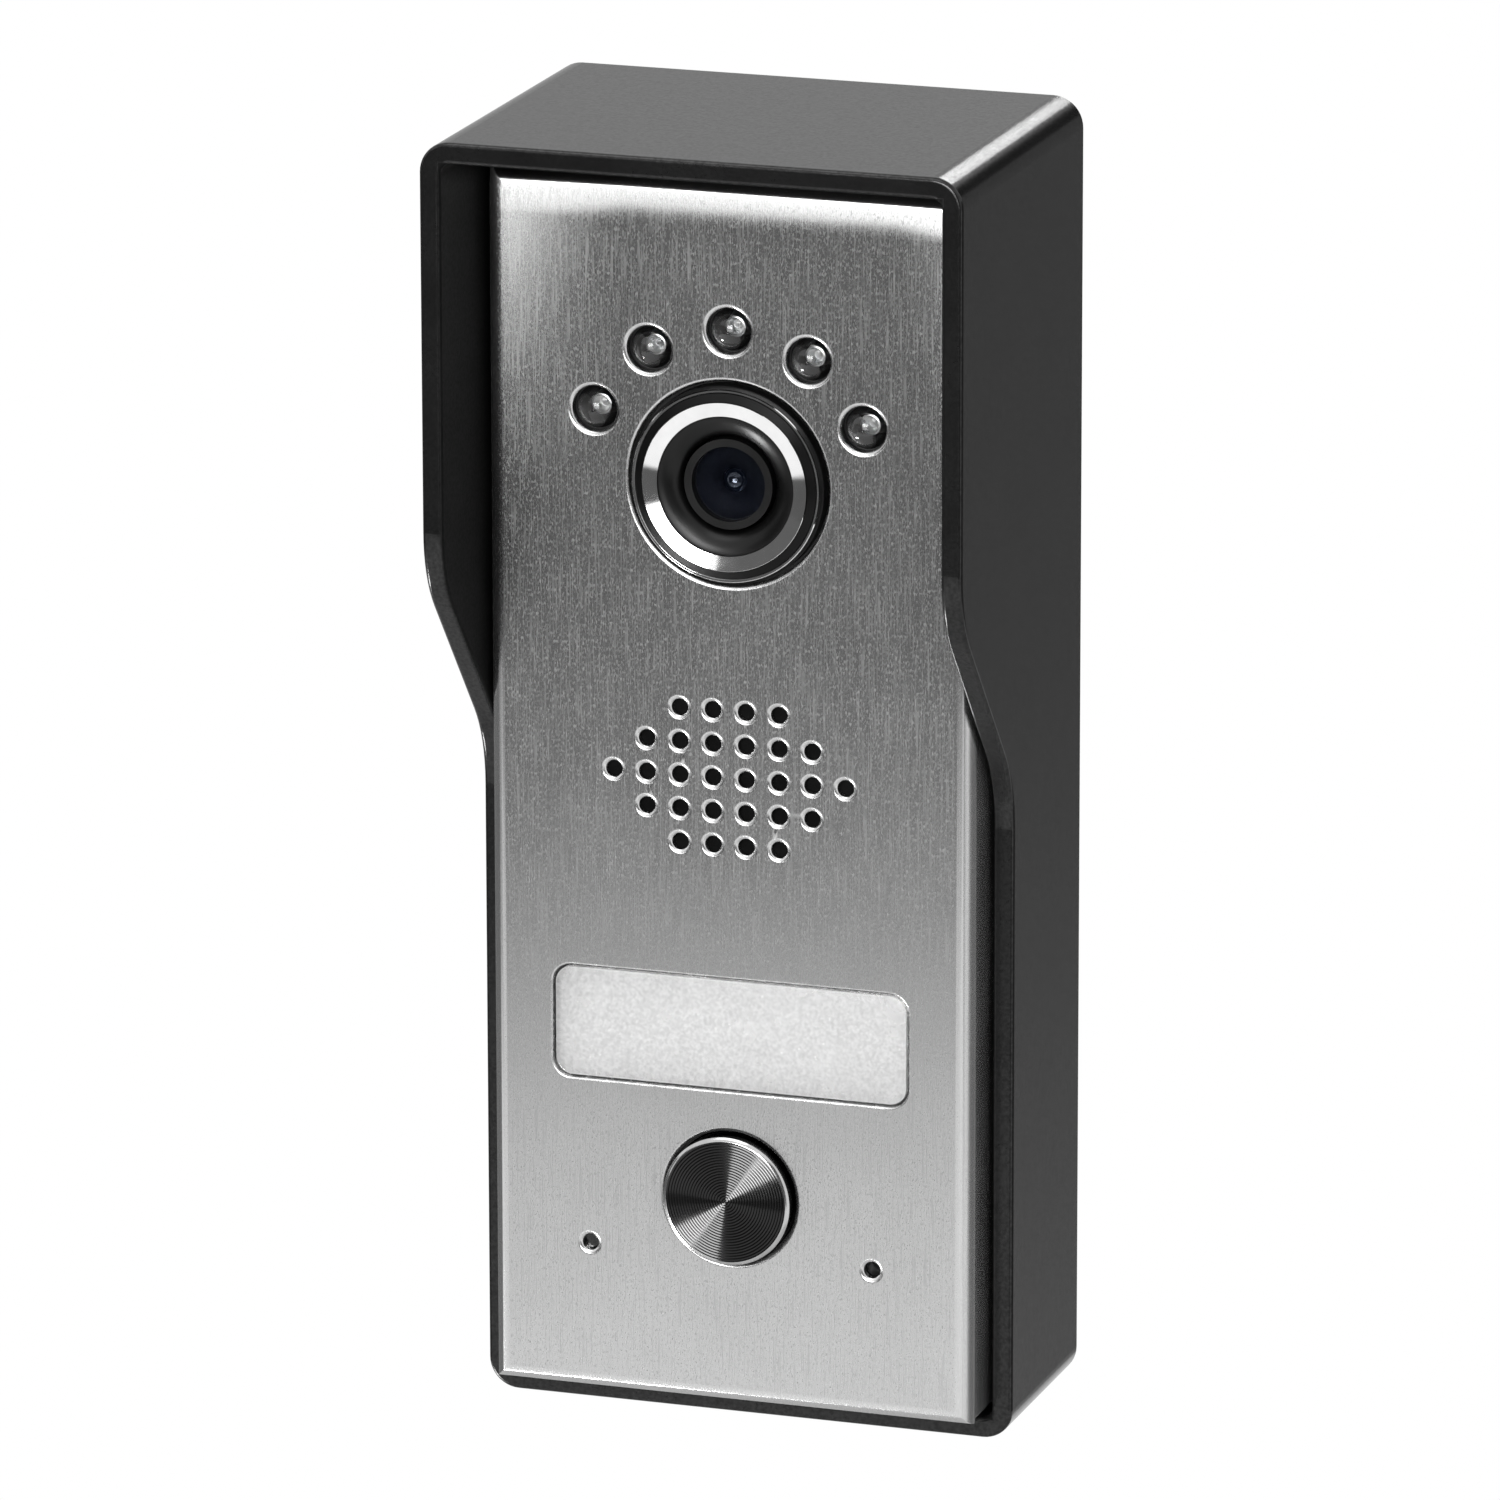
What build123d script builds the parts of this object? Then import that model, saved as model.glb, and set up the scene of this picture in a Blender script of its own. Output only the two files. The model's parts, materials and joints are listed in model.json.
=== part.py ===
from build123d import *
import math
import os

# Video doorbell: a stainless front panel with camera, infrared lamps, speaker,
# name window and push button, hung inside a moulded rain hood on the wall.
# Sizes are millimetres. +Z is up and the front faces -Y. The origin is the centre
# of the wall face, and "depth" is the distance in front of the wall (depth = -Y).

# General clearances
overshoot = 1.0
slip = 0.05
loose = 0.3

# Rain hood
hood_depth = 45.5
rim_depth = 25.5
hood_wall = 2.5
hood_corner = 3.6
hood_edge_round = 0.5
sweep_drop = 60.5
sweep_radius = 15.0
sweep_slope = 40.0

# Front panel: a folded tray of sheet metal
panel_width = 58.4
panel_sheet = 1.0
panel_bend = 2.0
panel_flange = 10.0
panel_proud = 6.5
panel_side_gap = 0.5
panel_bottom_gap = 0.8
panel_lift_gap = 2.8
flange_slit = 0.7
mitre = 45.0
hole_chamfer = 0.25

# Camera front
camera_hole_radius = 12.0
bezel_radius = 11.6
bezel_flange_radius = 14.0
bezel_flange = 1.4
lip_radius = 11.3
lip_width = 0.4
lip_proud = 1.05
lip_height = 0.65
ring_radius = 9.9
ring_bore_radius = 8.2
ring_proud = 1.55
ring_height = 1.9
ring_slope = 0.4
cone_wall = 0.3
cone_height = 7.1
cone_throat = 2.2

# Lens, lens holder and camera board
barrel_radius = 5.3
barrel_wall = 0.9
barrel_length = 12.0
barrel_bore_radius = 3.0
glass_seat = 1.4
glass_edge = 0.6
glass_crown = 0.7
rear_lens_thickness = 1.5
holder_side = 14.0
holder_height = 8.0
holder_wall = 2.2
sensor_side = 7.0
sensor_height = 1.2
camera_board_width = 36.0
camera_board_height = 30.0
camera_screw_spacing = 31.0
camera_screw_drop = 9.0
camera_boss_radius = 2.4
small_screw_radius = 0.9
small_head_radius = 1.9
small_head_height = 1.4
small_screw_grip = 4.0

# Infrared lamps
lamp_count = 5
lamp_arc_radius = 17.85
lamp_step = 32.4
lamp_radius = 2.5
lamp_rim_radius = 2.9
lamp_rim_height = 1.0
lamp_length = 8.6
lamp_proud = 0.6
lamp_hole_gap = 0.2
lamp_top_margin = 17.45
lamp_board_width = 6.4

# Speaker
speaker_hole_radius = 1.0
speaker_pitch = 4.0
speaker_rows = (4, 6, 8, 6, 4)
speaker_radius = 17.8
speaker_rim = 2.2
speaker_rim_height = 1.2
speaker_height = 8.4
speaker_gasket_thickness = 0.6
basket_sheet = 1.0
cone_paper = 0.3
magnet_radius = 8.5
magnet_height = 4.6
coil_radius = 3.9
coil_wall = 0.4
mesh_thickness = 0.4
camera_to_speaker = 3.0

# Name window
window_width = 43.2
window_height = 13.6
window_corner = 2.3
window_plate_margin = 2.0
window_plate_thickness = 1.5
card_thickness = 0.4
guide_margin = 1.5
guide_taper = 2.0
backlight_count = 3
backlight_side = 3.0
backlight_height = 1.2
speaker_to_window = 4.1

# Push button
button_radius = 7.7
button_chamfer = 0.5
button_proud = 1.7
button_travel = 0.9
button_hole_gap = 0.3
button_fit = 0.1
button_flange = 0.9
button_flange_height = 1.2
button_stem_radius = 2.0
button_cavity_radius = 6.2
button_cavity = 1.25
guide_neck_wall = 1.1
guide_wall = 1.3
guide_flange = 1.3
guide_flange_height = 1.5
base_thickness = 1.5
base_hole_gap = 0.6
spring_room = 7.0
spring_radius = 4.4
spring_wire_radius = 0.35
spring_turns = 4
switch_side = 6.0
switch_height = 4.0
plunger_radius = 1.75
plunger_length = 4.5
plunger_proud = 3.0
plunger_gap = 0.1
window_to_button = 1.9

# Pinholes with the microphone (right) and the light sensor (left)
pinhole_radius = 1.0
pinhole_inset = 12.0
pinhole_drop = 7.1
microphone_radius = 3.0
microphone_height = 2.7
boot_wall = 1.6
boot_front = 1.4
socket_wall = 1.2
socket_height = 4.0
light_sensor_radius = 2.5
light_sensor_height = 3.0
button_to_foot = 25.0

# Inner frame, gasket and rear case
gasket_thickness = 0.5
frame_plate = 2.0
frame_gap = 0.3
case_wall = 2.4
case_floor = 2.0
case_depth = 12.0
rear_gap = 1.5
seal_width = 1.0
seal_height = 0.8
case_boss_radius = 2.6
case_screw_radius = 1.2
case_head_radius = 2.3
case_head_height = 1.4
case_head_sunk = 1.0
case_screw_grip = 8.0
stud_radius = 1.5
stud_length = 7.0
stud_top_drop = 15.4
stud_foot_rise = 8.7
nut_radius = 3.2
nut_height = 2.4

# Main board and what it carries
board_thickness = 1.6
board_standoff = 4.0
board_edge_gap = 1.2
board_foot_rise = 9.7
board_screw_inset = 3.0
standoff_radius = 2.6
chip_side = 9.0
chip_height = 1.2
capacitor_radius = 3.2
capacitor_height = 7.0
capacitor_spacing = 24.0
ribbon_width = 10.0
ribbon_thickness = 0.4
ribbon_bow = 1.0
connector_width = 12.0
connector_height = 4.0
connector_depth = 3.0
terminal_count = 4
terminal_pitch = 5.08
terminal_height = 9.0
terminal_gap = 1.2
terminal_screw_radius = 1.6
terminal_screw_height = 2.3
terminal_well = 3.0
wire_entry_radius = 1.3
trimmer_side = 6.5
trimmer_radius = 1.95
trimmer_fit = 0.1
trimmer_length = 2.3
trimmer_proud = 0.8
trimmer_slot = 0.6
trimmer_slot_depth = 0.7
trimmer_hole_gap = 0.65

# Fixing to the wall and to the hood
wall_hole_radius = 2.25
wall_head_radius = 4.2
wall_hole_spacing_x = 36.0
wall_hole_spacing_z = 112.0
cable_hole_radius = 3.0
grommet_radius = 5.0
grommet_flange = 1.2
grommet_flange_height = 0.8
cable_window_width = 25.0
cable_window_height = 35.0
hook_width = 16.0
hook_height = 3.0
hook_lip = 2.0
hook_lip_thickness = 1.7
hook_drop = 10.2
lock_screw_radius = 1.5
lock_head_radius = 3.0
lock_screw_length = 8.0
lock_insert_wall = 0.6
lock_insert_length = 4.5
lock_boss_wall = 1.9

# Depths of the layers, counted from the wall
panel_face = rim_depth + panel_proud
panel_back = panel_face - panel_sheet
frame_front = panel_back - gasket_thickness
frame_back = frame_front - frame_plate
case_back = hood_wall + rear_gap
case_inside = case_back + case_floor
joint_depth = case_back + case_depth
board_back = case_inside + board_standoff
board_front = board_back + board_thickness

# Widths, counted from the middle
panel_half = panel_width / 2
hood_width = panel_width + 2 * (panel_side_gap + hood_wall)
frame_half = panel_half - panel_sheet - frame_gap
frame_inside = frame_half - case_wall
boss_x = frame_inside - case_boss_radius + slip
board_half = boss_x - case_boss_radius - board_edge_gap

# Heights, stacked down the panel from its top edge and centred on the hood
guide_neck_radius = button_radius + button_fit + guide_neck_wall
window_plate_width = window_width + 2 * window_plate_margin
window_plate_height = window_height + 2 * window_plate_margin
camera_drop = lamp_top_margin + lamp_arc_radius
speaker_drop = camera_drop + bezel_flange_radius + camera_to_speaker + speaker_radius
window_drop = speaker_drop + speaker_radius + speaker_to_window + window_plate_height / 2
button_drop = window_drop + window_plate_height / 2 + window_to_button + guide_neck_radius
panel_height = button_drop + button_to_foot
hood_height = panel_height + panel_lift_gap + panel_bottom_gap + 2 * hood_wall
panel_high = hood_height / 2 - hood_wall - panel_lift_gap
panel_low = panel_high - panel_height
panel_middle = (panel_high + panel_low) / 2
camera_z = panel_high - camera_drop
speaker_z = panel_high - speaker_drop
window_z = panel_high - window_drop
button_z = panel_high - button_drop
pinhole_z = button_z - pinhole_drop
sweep_z = panel_high + panel_lift_gap - sweep_drop
frame_high = panel_high - panel_sheet - frame_gap
frame_low = panel_low + panel_sheet + frame_gap
frame_height = frame_high - frame_low
frame_middle = (frame_high + frame_low) / 2
board_low = frame_low + board_foot_rise
board_high = speaker_z + speaker_radius - board_screw_inset

# Places that several pieces share
boss_heights = (
    frame_high - case_wall - case_boss_radius + slip,
    speaker_z - speaker_radius + slip,
    button_z + case_boss_radius,
)
boss_places = [(side * boss_x, z) for z in boss_heights for side in (-1, 1)]
stud_x = frame_inside - nut_radius - loose
stud_heights = (panel_high - stud_top_drop, panel_low + stud_foot_rise)
stud_places = [(side * stud_x, z) for z in stud_heights for side in (-1, 1)]
board_screw_x = board_half - board_screw_inset
board_screw_heights = (board_high - board_screw_inset, board_low + board_screw_inset)
board_screw_places = [(side * board_screw_x, z) for z in board_screw_heights for side in (-1, 1)]
camera_screw_z = camera_z - camera_screw_drop
camera_screw_places = [(side * camera_screw_spacing / 2, camera_screw_z) for side in (-1, 1)]
wall_hole_places = [
    (side * wall_hole_spacing_x / 2, level * wall_hole_spacing_z / 2) for side in (-1, 1) for level in (-1, 1)
]
sensor_place = (pinhole_inset - panel_half, pinhole_z)
microphone_place = (panel_half - pinhole_inset, pinhole_z)
cable_z = window_z - cable_hole_radius
cable_window_low = cable_z - grommet_radius - grommet_flange - loose
cable_window_high = cable_window_low + cable_window_height
terminal_high = cable_window_high - loose
terminal_low = terminal_high - terminal_height
terminal_back = hood_wall + terminal_gap
trimmer_place = (board_half - trimmer_side / 2, window_z)
hook_z = frame_high - hook_drop
lock_depth = (case_inside + joint_depth) / 2
lamp_angles = [math.radians(lamp_step * (i - (lamp_count - 1) / 2)) for i in range(lamp_count)]
lamp_places = [
    (lamp_arc_radius * math.sin(angle), camera_z + lamp_arc_radius * math.cos(angle)) for angle in lamp_angles
]
middle_row = (len(speaker_rows) - 1) / 2
speaker_hole_places = [
    ((column - (count - 1) / 2) * speaker_pitch, speaker_z + (middle_row - row) * speaker_pitch)
    for row, count in enumerate(speaker_rows)
    for column in range(count)
]


# Building blocks, all given by depth in front of the wall
def front_plane(depth):
    return Plane(origin=(0, -depth, 0), x_dir=(1, 0, 0), z_dir=(0, -1, 0))


def slab(outline, depth_low, depth_high):
    return extrude(front_plane(depth_low) * outline, depth_high - depth_low)


def block(width, height, depth_low, depth_high, x=0.0, z=0.0):
    return slab(Pos(x, z) * Rectangle(width, height), depth_low, depth_high)


def disc(radius, depth_low, depth_high, x=0.0, z=0.0):
    return slab(Pos(x, z) * Circle(radius), depth_low, depth_high)


def tube(radius, bore, depth_low, depth_high, x=0.0, z=0.0):
    return slab(Pos(x, z) * (Circle(radius) - Circle(bore)), depth_low, depth_high)


def turned_face(face, x, z):
    plane = Plane(origin=(x, 0, z), x_dir=(1, 0, 0), z_dir=(0, 0, -1))
    return revolve(plane * face, Axis((x, 0, z), (0, 1, 0)))


def turned(points, x=0.0, z=0.0):
    return turned_face(make_face(Polyline(*points, close=True)), x, z)


def domed(points, crown, x=0.0, z=0.0):
    # Turned outline whose last point runs over a round crown to the axis
    edge_radius, edge_depth = points[-1]
    rise = crown - edge_depth
    sphere = (edge_radius**2 + rise**2) / (2 * rise)
    half_turn = math.asin(edge_radius / sphere) / 2
    middle = (sphere * math.sin(half_turn), crown - sphere + sphere * math.cos(half_turn))
    outline = [
        Polyline((0, crown), (0, points[0][1]), *points),
        ThreePointArc(points[-1], middle, (0, crown)),
    ]
    return turned_face(make_face(Curve() + outline), x, z)


def upright(radius, z_low, z_high, x=0.0, depth=0.0):
    return Pos(x, -depth, (z_low + z_high) / 2) * Cylinder(radius, z_high - z_low)


def upright_cone(low_radius, high_radius, z_low, z_high, x=0.0, depth=0.0):
    return Pos(x, -depth, (z_low + z_high) / 2) * Cone(low_radius, high_radius, z_high - z_low)


def group(solids):
    return Compound(children=solids)


def sheet_hole(radius, x, z, chamfer_size=hole_chamfer):
    # A drilled hole through the panel's face, deburred in front
    wide = radius + chamfer_size + overshoot
    return turned(
        [
            (0, panel_back - overshoot),
            (radius, panel_back - overshoot),
            (radius, panel_face - chamfer_size),
            (wide, panel_face + overshoot),
            (0, panel_face + overshoot),
        ],
        x,
        z,
    )


def frame_outline(inset):
    outline = Rectangle(2 * (frame_half - inset), frame_height - 2 * inset)
    return Pos(0, frame_middle) * outline


def screw(head_radius, shank_radius, head_low, head_high, tip, x, z):
    # The head lies behind and the shank points to the front
    return disc(head_radius, head_low, head_high, x, z) + disc(shank_radius, head_high, tip, x, z)


# Rain hood
def sweep_cutter():
    # Takes the side walls back from the hood to the lower rim in an S curve
    slope = math.radians(sweep_slope)
    arc_depth = sweep_radius * (1 - math.cos(slope))
    arc_height = sweep_radius * math.sin(slope)
    run_height = (hood_depth - rim_depth - 2 * arc_depth) / math.tan(slope)
    bend_high = sweep_z + run_height / 2
    bend_low = sweep_z - run_height / 2
    half_depth = sweep_radius * (1 - math.cos(slope / 2))
    half_height = sweep_radius * math.sin(slope / 2)
    start = (hood_depth, bend_high + arc_height)
    start_middle = (hood_depth - half_depth, bend_high + arc_height - half_height)
    run_start = (hood_depth - arc_depth, bend_high)
    run_end = (rim_depth + arc_depth, bend_low)
    end_middle = (rim_depth + half_depth, bend_low - arc_height + half_height)
    end = (rim_depth, bend_low - arc_height)
    front = hood_depth + overshoot
    outline = [
        ThreePointArc(start, start_middle, run_start),
        Line(run_start, run_end),
        ThreePointArc(run_end, end_middle, end),
        Polyline(end, (rim_depth, -hood_height), (front, -hood_height), (front, start[1]), start),
    ]
    side_plane = Plane(origin=(hood_width, 0, 0), x_dir=(0, -1, 0), z_dir=(-1, 0, 0))
    return extrude(side_plane * make_face(Curve() + outline), 2 * hood_width)


def hood_shell():
    cavity_corner = hood_corner - hood_wall
    outer = RectangleRounded(hood_width, hood_height, hood_corner)
    inner = RectangleRounded(hood_width - 2 * hood_wall, hood_height - 2 * hood_wall, cavity_corner)
    shell = slab(outer, 0, hood_depth) - slab(inner, hood_wall, hood_depth + overshoot) - sweep_cutter()
    seam = hood_wall + slip
    rim_edges = []
    for face in shell.faces():
        middle = face.center()
        faces_front = face.normal_at(middle).Y < -math.cos(math.radians(sweep_slope)) + slip
        if faces_front and -middle.Y > 2 * hood_wall:
            rim_edges += [edge for edge in face.edges() if edge.length > seam]
    return fillet(rim_edges, hood_edge_round)


def wall_hole(x, z):
    sink_start = hood_wall - (wall_head_radius - wall_hole_radius)
    return turned(
        [
            (0, -overshoot),
            (wall_hole_radius, -overshoot),
            (wall_hole_radius, sink_start),
            (wall_head_radius, hood_wall),
            (wall_head_radius, hood_wall + overshoot),
            (0, hood_wall + overshoot),
        ],
        x,
        z,
    )


def lock_screw_places():
    low = -hood_height / 2
    sink = lock_head_radius - lock_screw_radius
    return low, low + sink


def make_rain_hood():
    hood = hood_shell()
    lip_start = case_inside + loose
    hook_top = hook_z + hook_lip
    hood += block(hook_width, hook_height, hood_wall - slip, lip_start, 0, hook_z - hook_height / 2)
    lip_height = hook_height + hook_lip
    lip_z = hook_top - lip_height / 2
    hood += block(hook_width, lip_height, lip_start, lip_start + hook_lip_thickness, 0, lip_z)
    for x, z in wall_hole_places:
        hood -= wall_hole(x, z)
    hood -= disc(grommet_radius, -overshoot, hood_wall + overshoot, 0, cable_z)
    hood -= disc(grommet_radius + grommet_flange, -overshoot, grommet_flange_height, 0, cable_z)
    low, sink_top = lock_screw_places()
    clearance = lock_screw_radius + 2 * slip
    hood -= upright(clearance, low - overshoot, low + hood_wall + overshoot, 0, lock_depth)
    hood -= upright_cone(lock_head_radius + 2 * slip, clearance, low, sink_top, 0, lock_depth)
    return hood


def make_cable_grommet():
    neck = grommet_radius - slip
    rim = grommet_radius + grommet_flange - slip
    inside = hood_wall + slip
    return turned(
        [
            (cable_hole_radius, 0),
            (rim, 0),
            (rim, grommet_flange_height - slip),
            (neck, grommet_flange_height - slip),
            (neck, inside),
            (rim, inside),
            (rim, inside + grommet_flange_height),
            (cable_hole_radius, inside + grommet_flange_height),
        ],
        0,
        cable_z,
    )


def make_lock_screw():
    low, sink_top = lock_screw_places()
    head = upright_cone(lock_head_radius, lock_screw_radius, low, sink_top, 0, lock_depth)
    return head + upright(lock_screw_radius, sink_top, low + lock_screw_length, 0, lock_depth)


def make_lock_insert():
    bore = lock_screw_radius + slip
    high = frame_low + lock_insert_length
    body = upright(bore + lock_insert_wall, frame_low, high, 0, lock_depth)
    return body - upright(bore, frame_low - overshoot, high + overshoot, 0, lock_depth)


# Front panel and what holds it
def make_front_panel():
    flange_end = panel_face - panel_flange
    body = block(panel_width, panel_height, flange_end, panel_face, 0, panel_middle)
    body = fillet(body.faces().sort_by(Axis.Y)[0].edges(), panel_bend)
    inner_width = panel_width - 2 * panel_sheet
    inner_height = panel_height - 2 * panel_sheet
    hollow = block(inner_width, inner_height, flange_end - overshoot, panel_back, 0, panel_middle)
    hollow = fillet(hollow.faces().sort_by(Axis.Y)[0].edges(), panel_bend - panel_sheet)
    panel = body - hollow
    for side in (-1, 1):
        for level, turn in ((panel_low, -side * mitre), (panel_high, side * mitre)):
            slit = Rot(0, 0, turn) * Rectangle(4 * panel_bend, flange_slit)
            slit_place = Pos(side * panel_half, level)
            panel -= slab(slit_place * slit, flange_end - overshoot, panel_face - panel_bend)
    panel -= sheet_hole(camera_hole_radius, 0, camera_z)
    for x, z in lamp_places:
        panel -= sheet_hole(lamp_radius + lamp_hole_gap, x, z)
    for x, z in speaker_hole_places:
        panel -= sheet_hole(speaker_hole_radius, x, z)
    for x, z in (sensor_place, microphone_place):
        panel -= sheet_hole(pinhole_radius, x, z)
    panel -= sheet_hole(button_radius + button_hole_gap, 0, button_z)
    window = RectangleRounded(window_width, window_height, window_corner)
    panel -= slab(Pos(0, window_z) * window, panel_back - overshoot, panel_face + overshoot)
    return panel


def make_weld_studs():
    return group([disc(stud_radius, panel_back - stud_length, panel_back, x, z) for x, z in stud_places])


def make_stud_nuts():
    nut = RegularPolygon(nut_radius, 6) - Circle(stud_radius + slip)
    return group([slab(Pos(x, z) * nut, frame_back - nut_height, frame_back) for x, z in stud_places])


def make_panel_gasket():
    sheet = slab(frame_outline(panel_bend - panel_sheet), frame_front, panel_back)
    low = frame_front - overshoot
    high = panel_back + overshoot
    sheet -= disc(camera_hole_radius + loose, low, high, 0, camera_z)
    for x, z in lamp_places:
        sheet -= disc(lamp_radius + lamp_hole_gap + loose, low, high, x, z)
    sheet -= disc(speaker_radius - speaker_rim + loose, low, high, 0, speaker_z)
    gap = 2 * loose
    sheet -= block(window_plate_width + gap, window_plate_height + gap, low, high, 0, window_z)
    sheet -= disc(guide_neck_radius + loose, low, high, 0, button_z)
    for x, z in stud_places:
        sheet -= disc(stud_radius + loose, low, high, x, z)
    sheet -= disc(light_sensor_radius + loose, low, high, *sensor_place)
    sheet -= disc(pinhole_radius + loose, low, high, *microphone_place)
    return sheet


def make_inner_frame():
    frame = slab(frame_outline(0), joint_depth, frame_front)
    frame = fillet(frame.faces().sort_by(Axis.Y)[0].edges(), panel_bend - panel_sheet)
    frame -= slab(frame_outline(case_wall), joint_depth - overshoot, frame_back)
    low = frame_back - overshoot
    high = frame_front + overshoot
    for x, z in boss_places:
        frame += disc(case_boss_radius, joint_depth, frame_back + slip, x, z)
        pilot_end = joint_depth + case_screw_grip + loose
        frame -= disc(case_screw_radius + slip, joint_depth - overshoot, pilot_end, x, z)
    for x, z in camera_screw_places:
        frame += disc(camera_boss_radius, camera_board_front, frame_back + slip, x, z)
        pilot_end = camera_board_front + small_screw_grip
        frame -= disc(small_screw_radius + slip, camera_board_front - overshoot, pilot_end, x, z)
    boot_radius = microphone_radius + boot_wall + slip
    socket = tube(boot_radius + socket_wall, boot_radius, frame_back - socket_height, frame_back + slip)
    frame += Pos(microphone_place[0], 0, microphone_place[1]) * socket
    frame -= disc(bezel_radius + slip, low, high, 0, camera_z)
    for x, z in lamp_places:
        frame -= disc(lamp_radius + slip, low, high, x, z)
    frame -= disc(speaker_radius - speaker_rim, low, high, 0, speaker_z)
    frame -= block(guide_front_width + slip, guide_front_height + slip, low, high, 0, window_z)
    pocket_back = panel_back - window_plate_thickness - card_thickness
    pocket_gap = 2 * loose
    pocket_width = window_plate_width + pocket_gap
    frame -= block(pocket_width, window_plate_height + pocket_gap, pocket_back, high, 0, window_z)
    frame -= disc(guide_neck_radius + slip, low, high, 0, button_z)
    for x, z in stud_places:
        frame -= disc(stud_radius + 4 * slip, low, high, x, z)
    frame -= disc(light_sensor_radius + slip, low, high, *sensor_place)
    frame -= disc(pinhole_radius, low, high, *microphone_place)
    return frame


def make_rear_case():
    case = slab(frame_outline(0), case_back, joint_depth)
    case -= slab(frame_outline(case_wall), case_inside, joint_depth + overshoot)
    low = case_back - overshoot
    for x, z in boss_places:
        case += disc(case_boss_radius, case_inside - slip, joint_depth, x, z)
        case -= disc(case_screw_radius + 4 * slip, low, joint_depth + overshoot, x, z)
        case -= disc(case_head_radius + 4 * slip, low, case_back + case_head_sunk, x, z)
    for x, z in board_screw_places:
        case += disc(standoff_radius, case_inside - slip, board_back, x, z)
        case -= disc(small_screw_radius + slip, case_inside, board_back + overshoot, x, z)
    window_middle = (cable_window_low + cable_window_high) / 2
    case -= block(cable_window_width, cable_window_height, low, case_inside + overshoot, 0, window_middle)
    slot_height = hook_height + hook_lip + loose
    slot_z = hook_z + slip - slot_height / 2
    case -= block(hook_width + 4 * loose, slot_height, low, case_inside + overshoot, 0, slot_z)
    case -= disc(trimmer_radius + trimmer_hole_gap, low, case_inside + overshoot, *trimmer_place)
    insert_radius = lock_screw_radius + slip + lock_insert_wall
    boss_width = 2 * (insert_radius + lock_boss_wall)
    boss_height = lock_insert_length + lock_boss_wall
    case += block(boss_width, boss_height, case_inside - slip, joint_depth, 0, frame_low + boss_height / 2)
    insert_high = frame_low + lock_insert_length
    case -= upright(insert_radius + slip, frame_low - overshoot, insert_high, 0, lock_depth)
    groove = (case_wall - seal_width) / 2
    ring = frame_outline(groove) - frame_outline(groove + seal_width)
    return case - slab(ring, joint_depth - seal_height, joint_depth + overshoot)


def make_case_seal():
    groove = (case_wall - seal_width) / 2 + slip
    ring = frame_outline(groove) - frame_outline(groove + seal_width - 2 * slip)
    return slab(ring, joint_depth - seal_height + slip, joint_depth)


def make_case_screws():
    head_back = case_back + case_head_sunk - case_head_height
    head_front = case_back + case_head_sunk
    tip = joint_depth + case_screw_grip
    return group(
        [screw(case_head_radius, case_screw_radius, head_back, head_front, tip, x, z) for x, z in boss_places]
    )


# Camera
ring_front = panel_face + ring_proud
ring_back = ring_front - ring_height
lip_front = panel_face + lip_proud
lip_back = lip_front - lip_height
cone_front = ring_front - ring_slope - slip
cone_back = cone_front - cone_height
cone_radius = ring_bore_radius - slip
barrel_front = panel_face
barrel_back = barrel_front - barrel_length
glass_radius = barrel_radius - barrel_wall - slip
glass_back = barrel_front - glass_seat + slip
holder_front = barrel_back + holder_height / 2
holder_back = holder_front - holder_height
camera_board_front = holder_back
camera_board_back = camera_board_front - board_thickness
camera_board_low = camera_z - camera_board_height / 2
plug_z = camera_board_low + connector_height
socket_z = board_high - connector_height


def make_camera_bezel():
    bore = ring_bore_radius
    seat = ring_radius + slip
    return turned(
        [
            (bore, frame_back - bezel_flange),
            (bezel_flange_radius, frame_back - bezel_flange),
            (bezel_flange_radius, frame_back),
            (bezel_radius, frame_back),
            (bezel_radius, lip_back),
            (lip_radius - lip_width - slip, lip_back),
            (lip_radius - lip_width - slip, lip_front - slip),
            (seat, ring_front - 2 * slip),
            (seat, ring_back),
            (bore, ring_back),
        ],
        0,
        camera_z,
    )


def make_camera_lip():
    inner = lip_radius - lip_width
    round_off = lip_width / 4
    return turned(
        [
            (inner, lip_back),
            (lip_radius, lip_back),
            (lip_radius, lip_front - round_off),
            (lip_radius - round_off, lip_front),
            (inner + round_off, lip_front),
            (inner, lip_front - round_off),
        ],
        0,
        camera_z,
    )


def make_chrome_ring():
    return turned(
        [
            (ring_bore_radius, ring_back),
            (ring_radius, ring_back),
            (ring_radius, ring_front - slip),
            (ring_radius - slip, ring_front),
            (ring_bore_radius, ring_front - ring_slope),
        ],
        0,
        camera_z,
    )


def make_camera_cone():
    throat = barrel_radius + loose
    return turned(
        [
            (throat, cone_back),
            (cone_radius, cone_back),
            (cone_radius, cone_front),
            (cone_radius - cone_wall, cone_front),
            (throat, cone_front - cone_throat),
        ],
        0,
        camera_z,
    )


def make_lens_barrel():
    seat = barrel_radius - barrel_wall
    return turned(
        [
            (barrel_bore_radius, barrel_back),
            (barrel_radius, barrel_back),
            (barrel_radius, barrel_front),
            (seat, barrel_front),
            (seat, barrel_front - glass_seat),
            (barrel_bore_radius, barrel_front - glass_seat),
        ],
        0,
        camera_z,
    )


def make_lens_glass():
    edge = glass_back + glass_edge
    return domed([(glass_radius, glass_back), (glass_radius, edge)], edge + glass_crown, 0, camera_z)


def make_lens_rear():
    return disc(barrel_bore_radius - slip, barrel_back, barrel_back + rear_lens_thickness, 0, camera_z)


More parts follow.
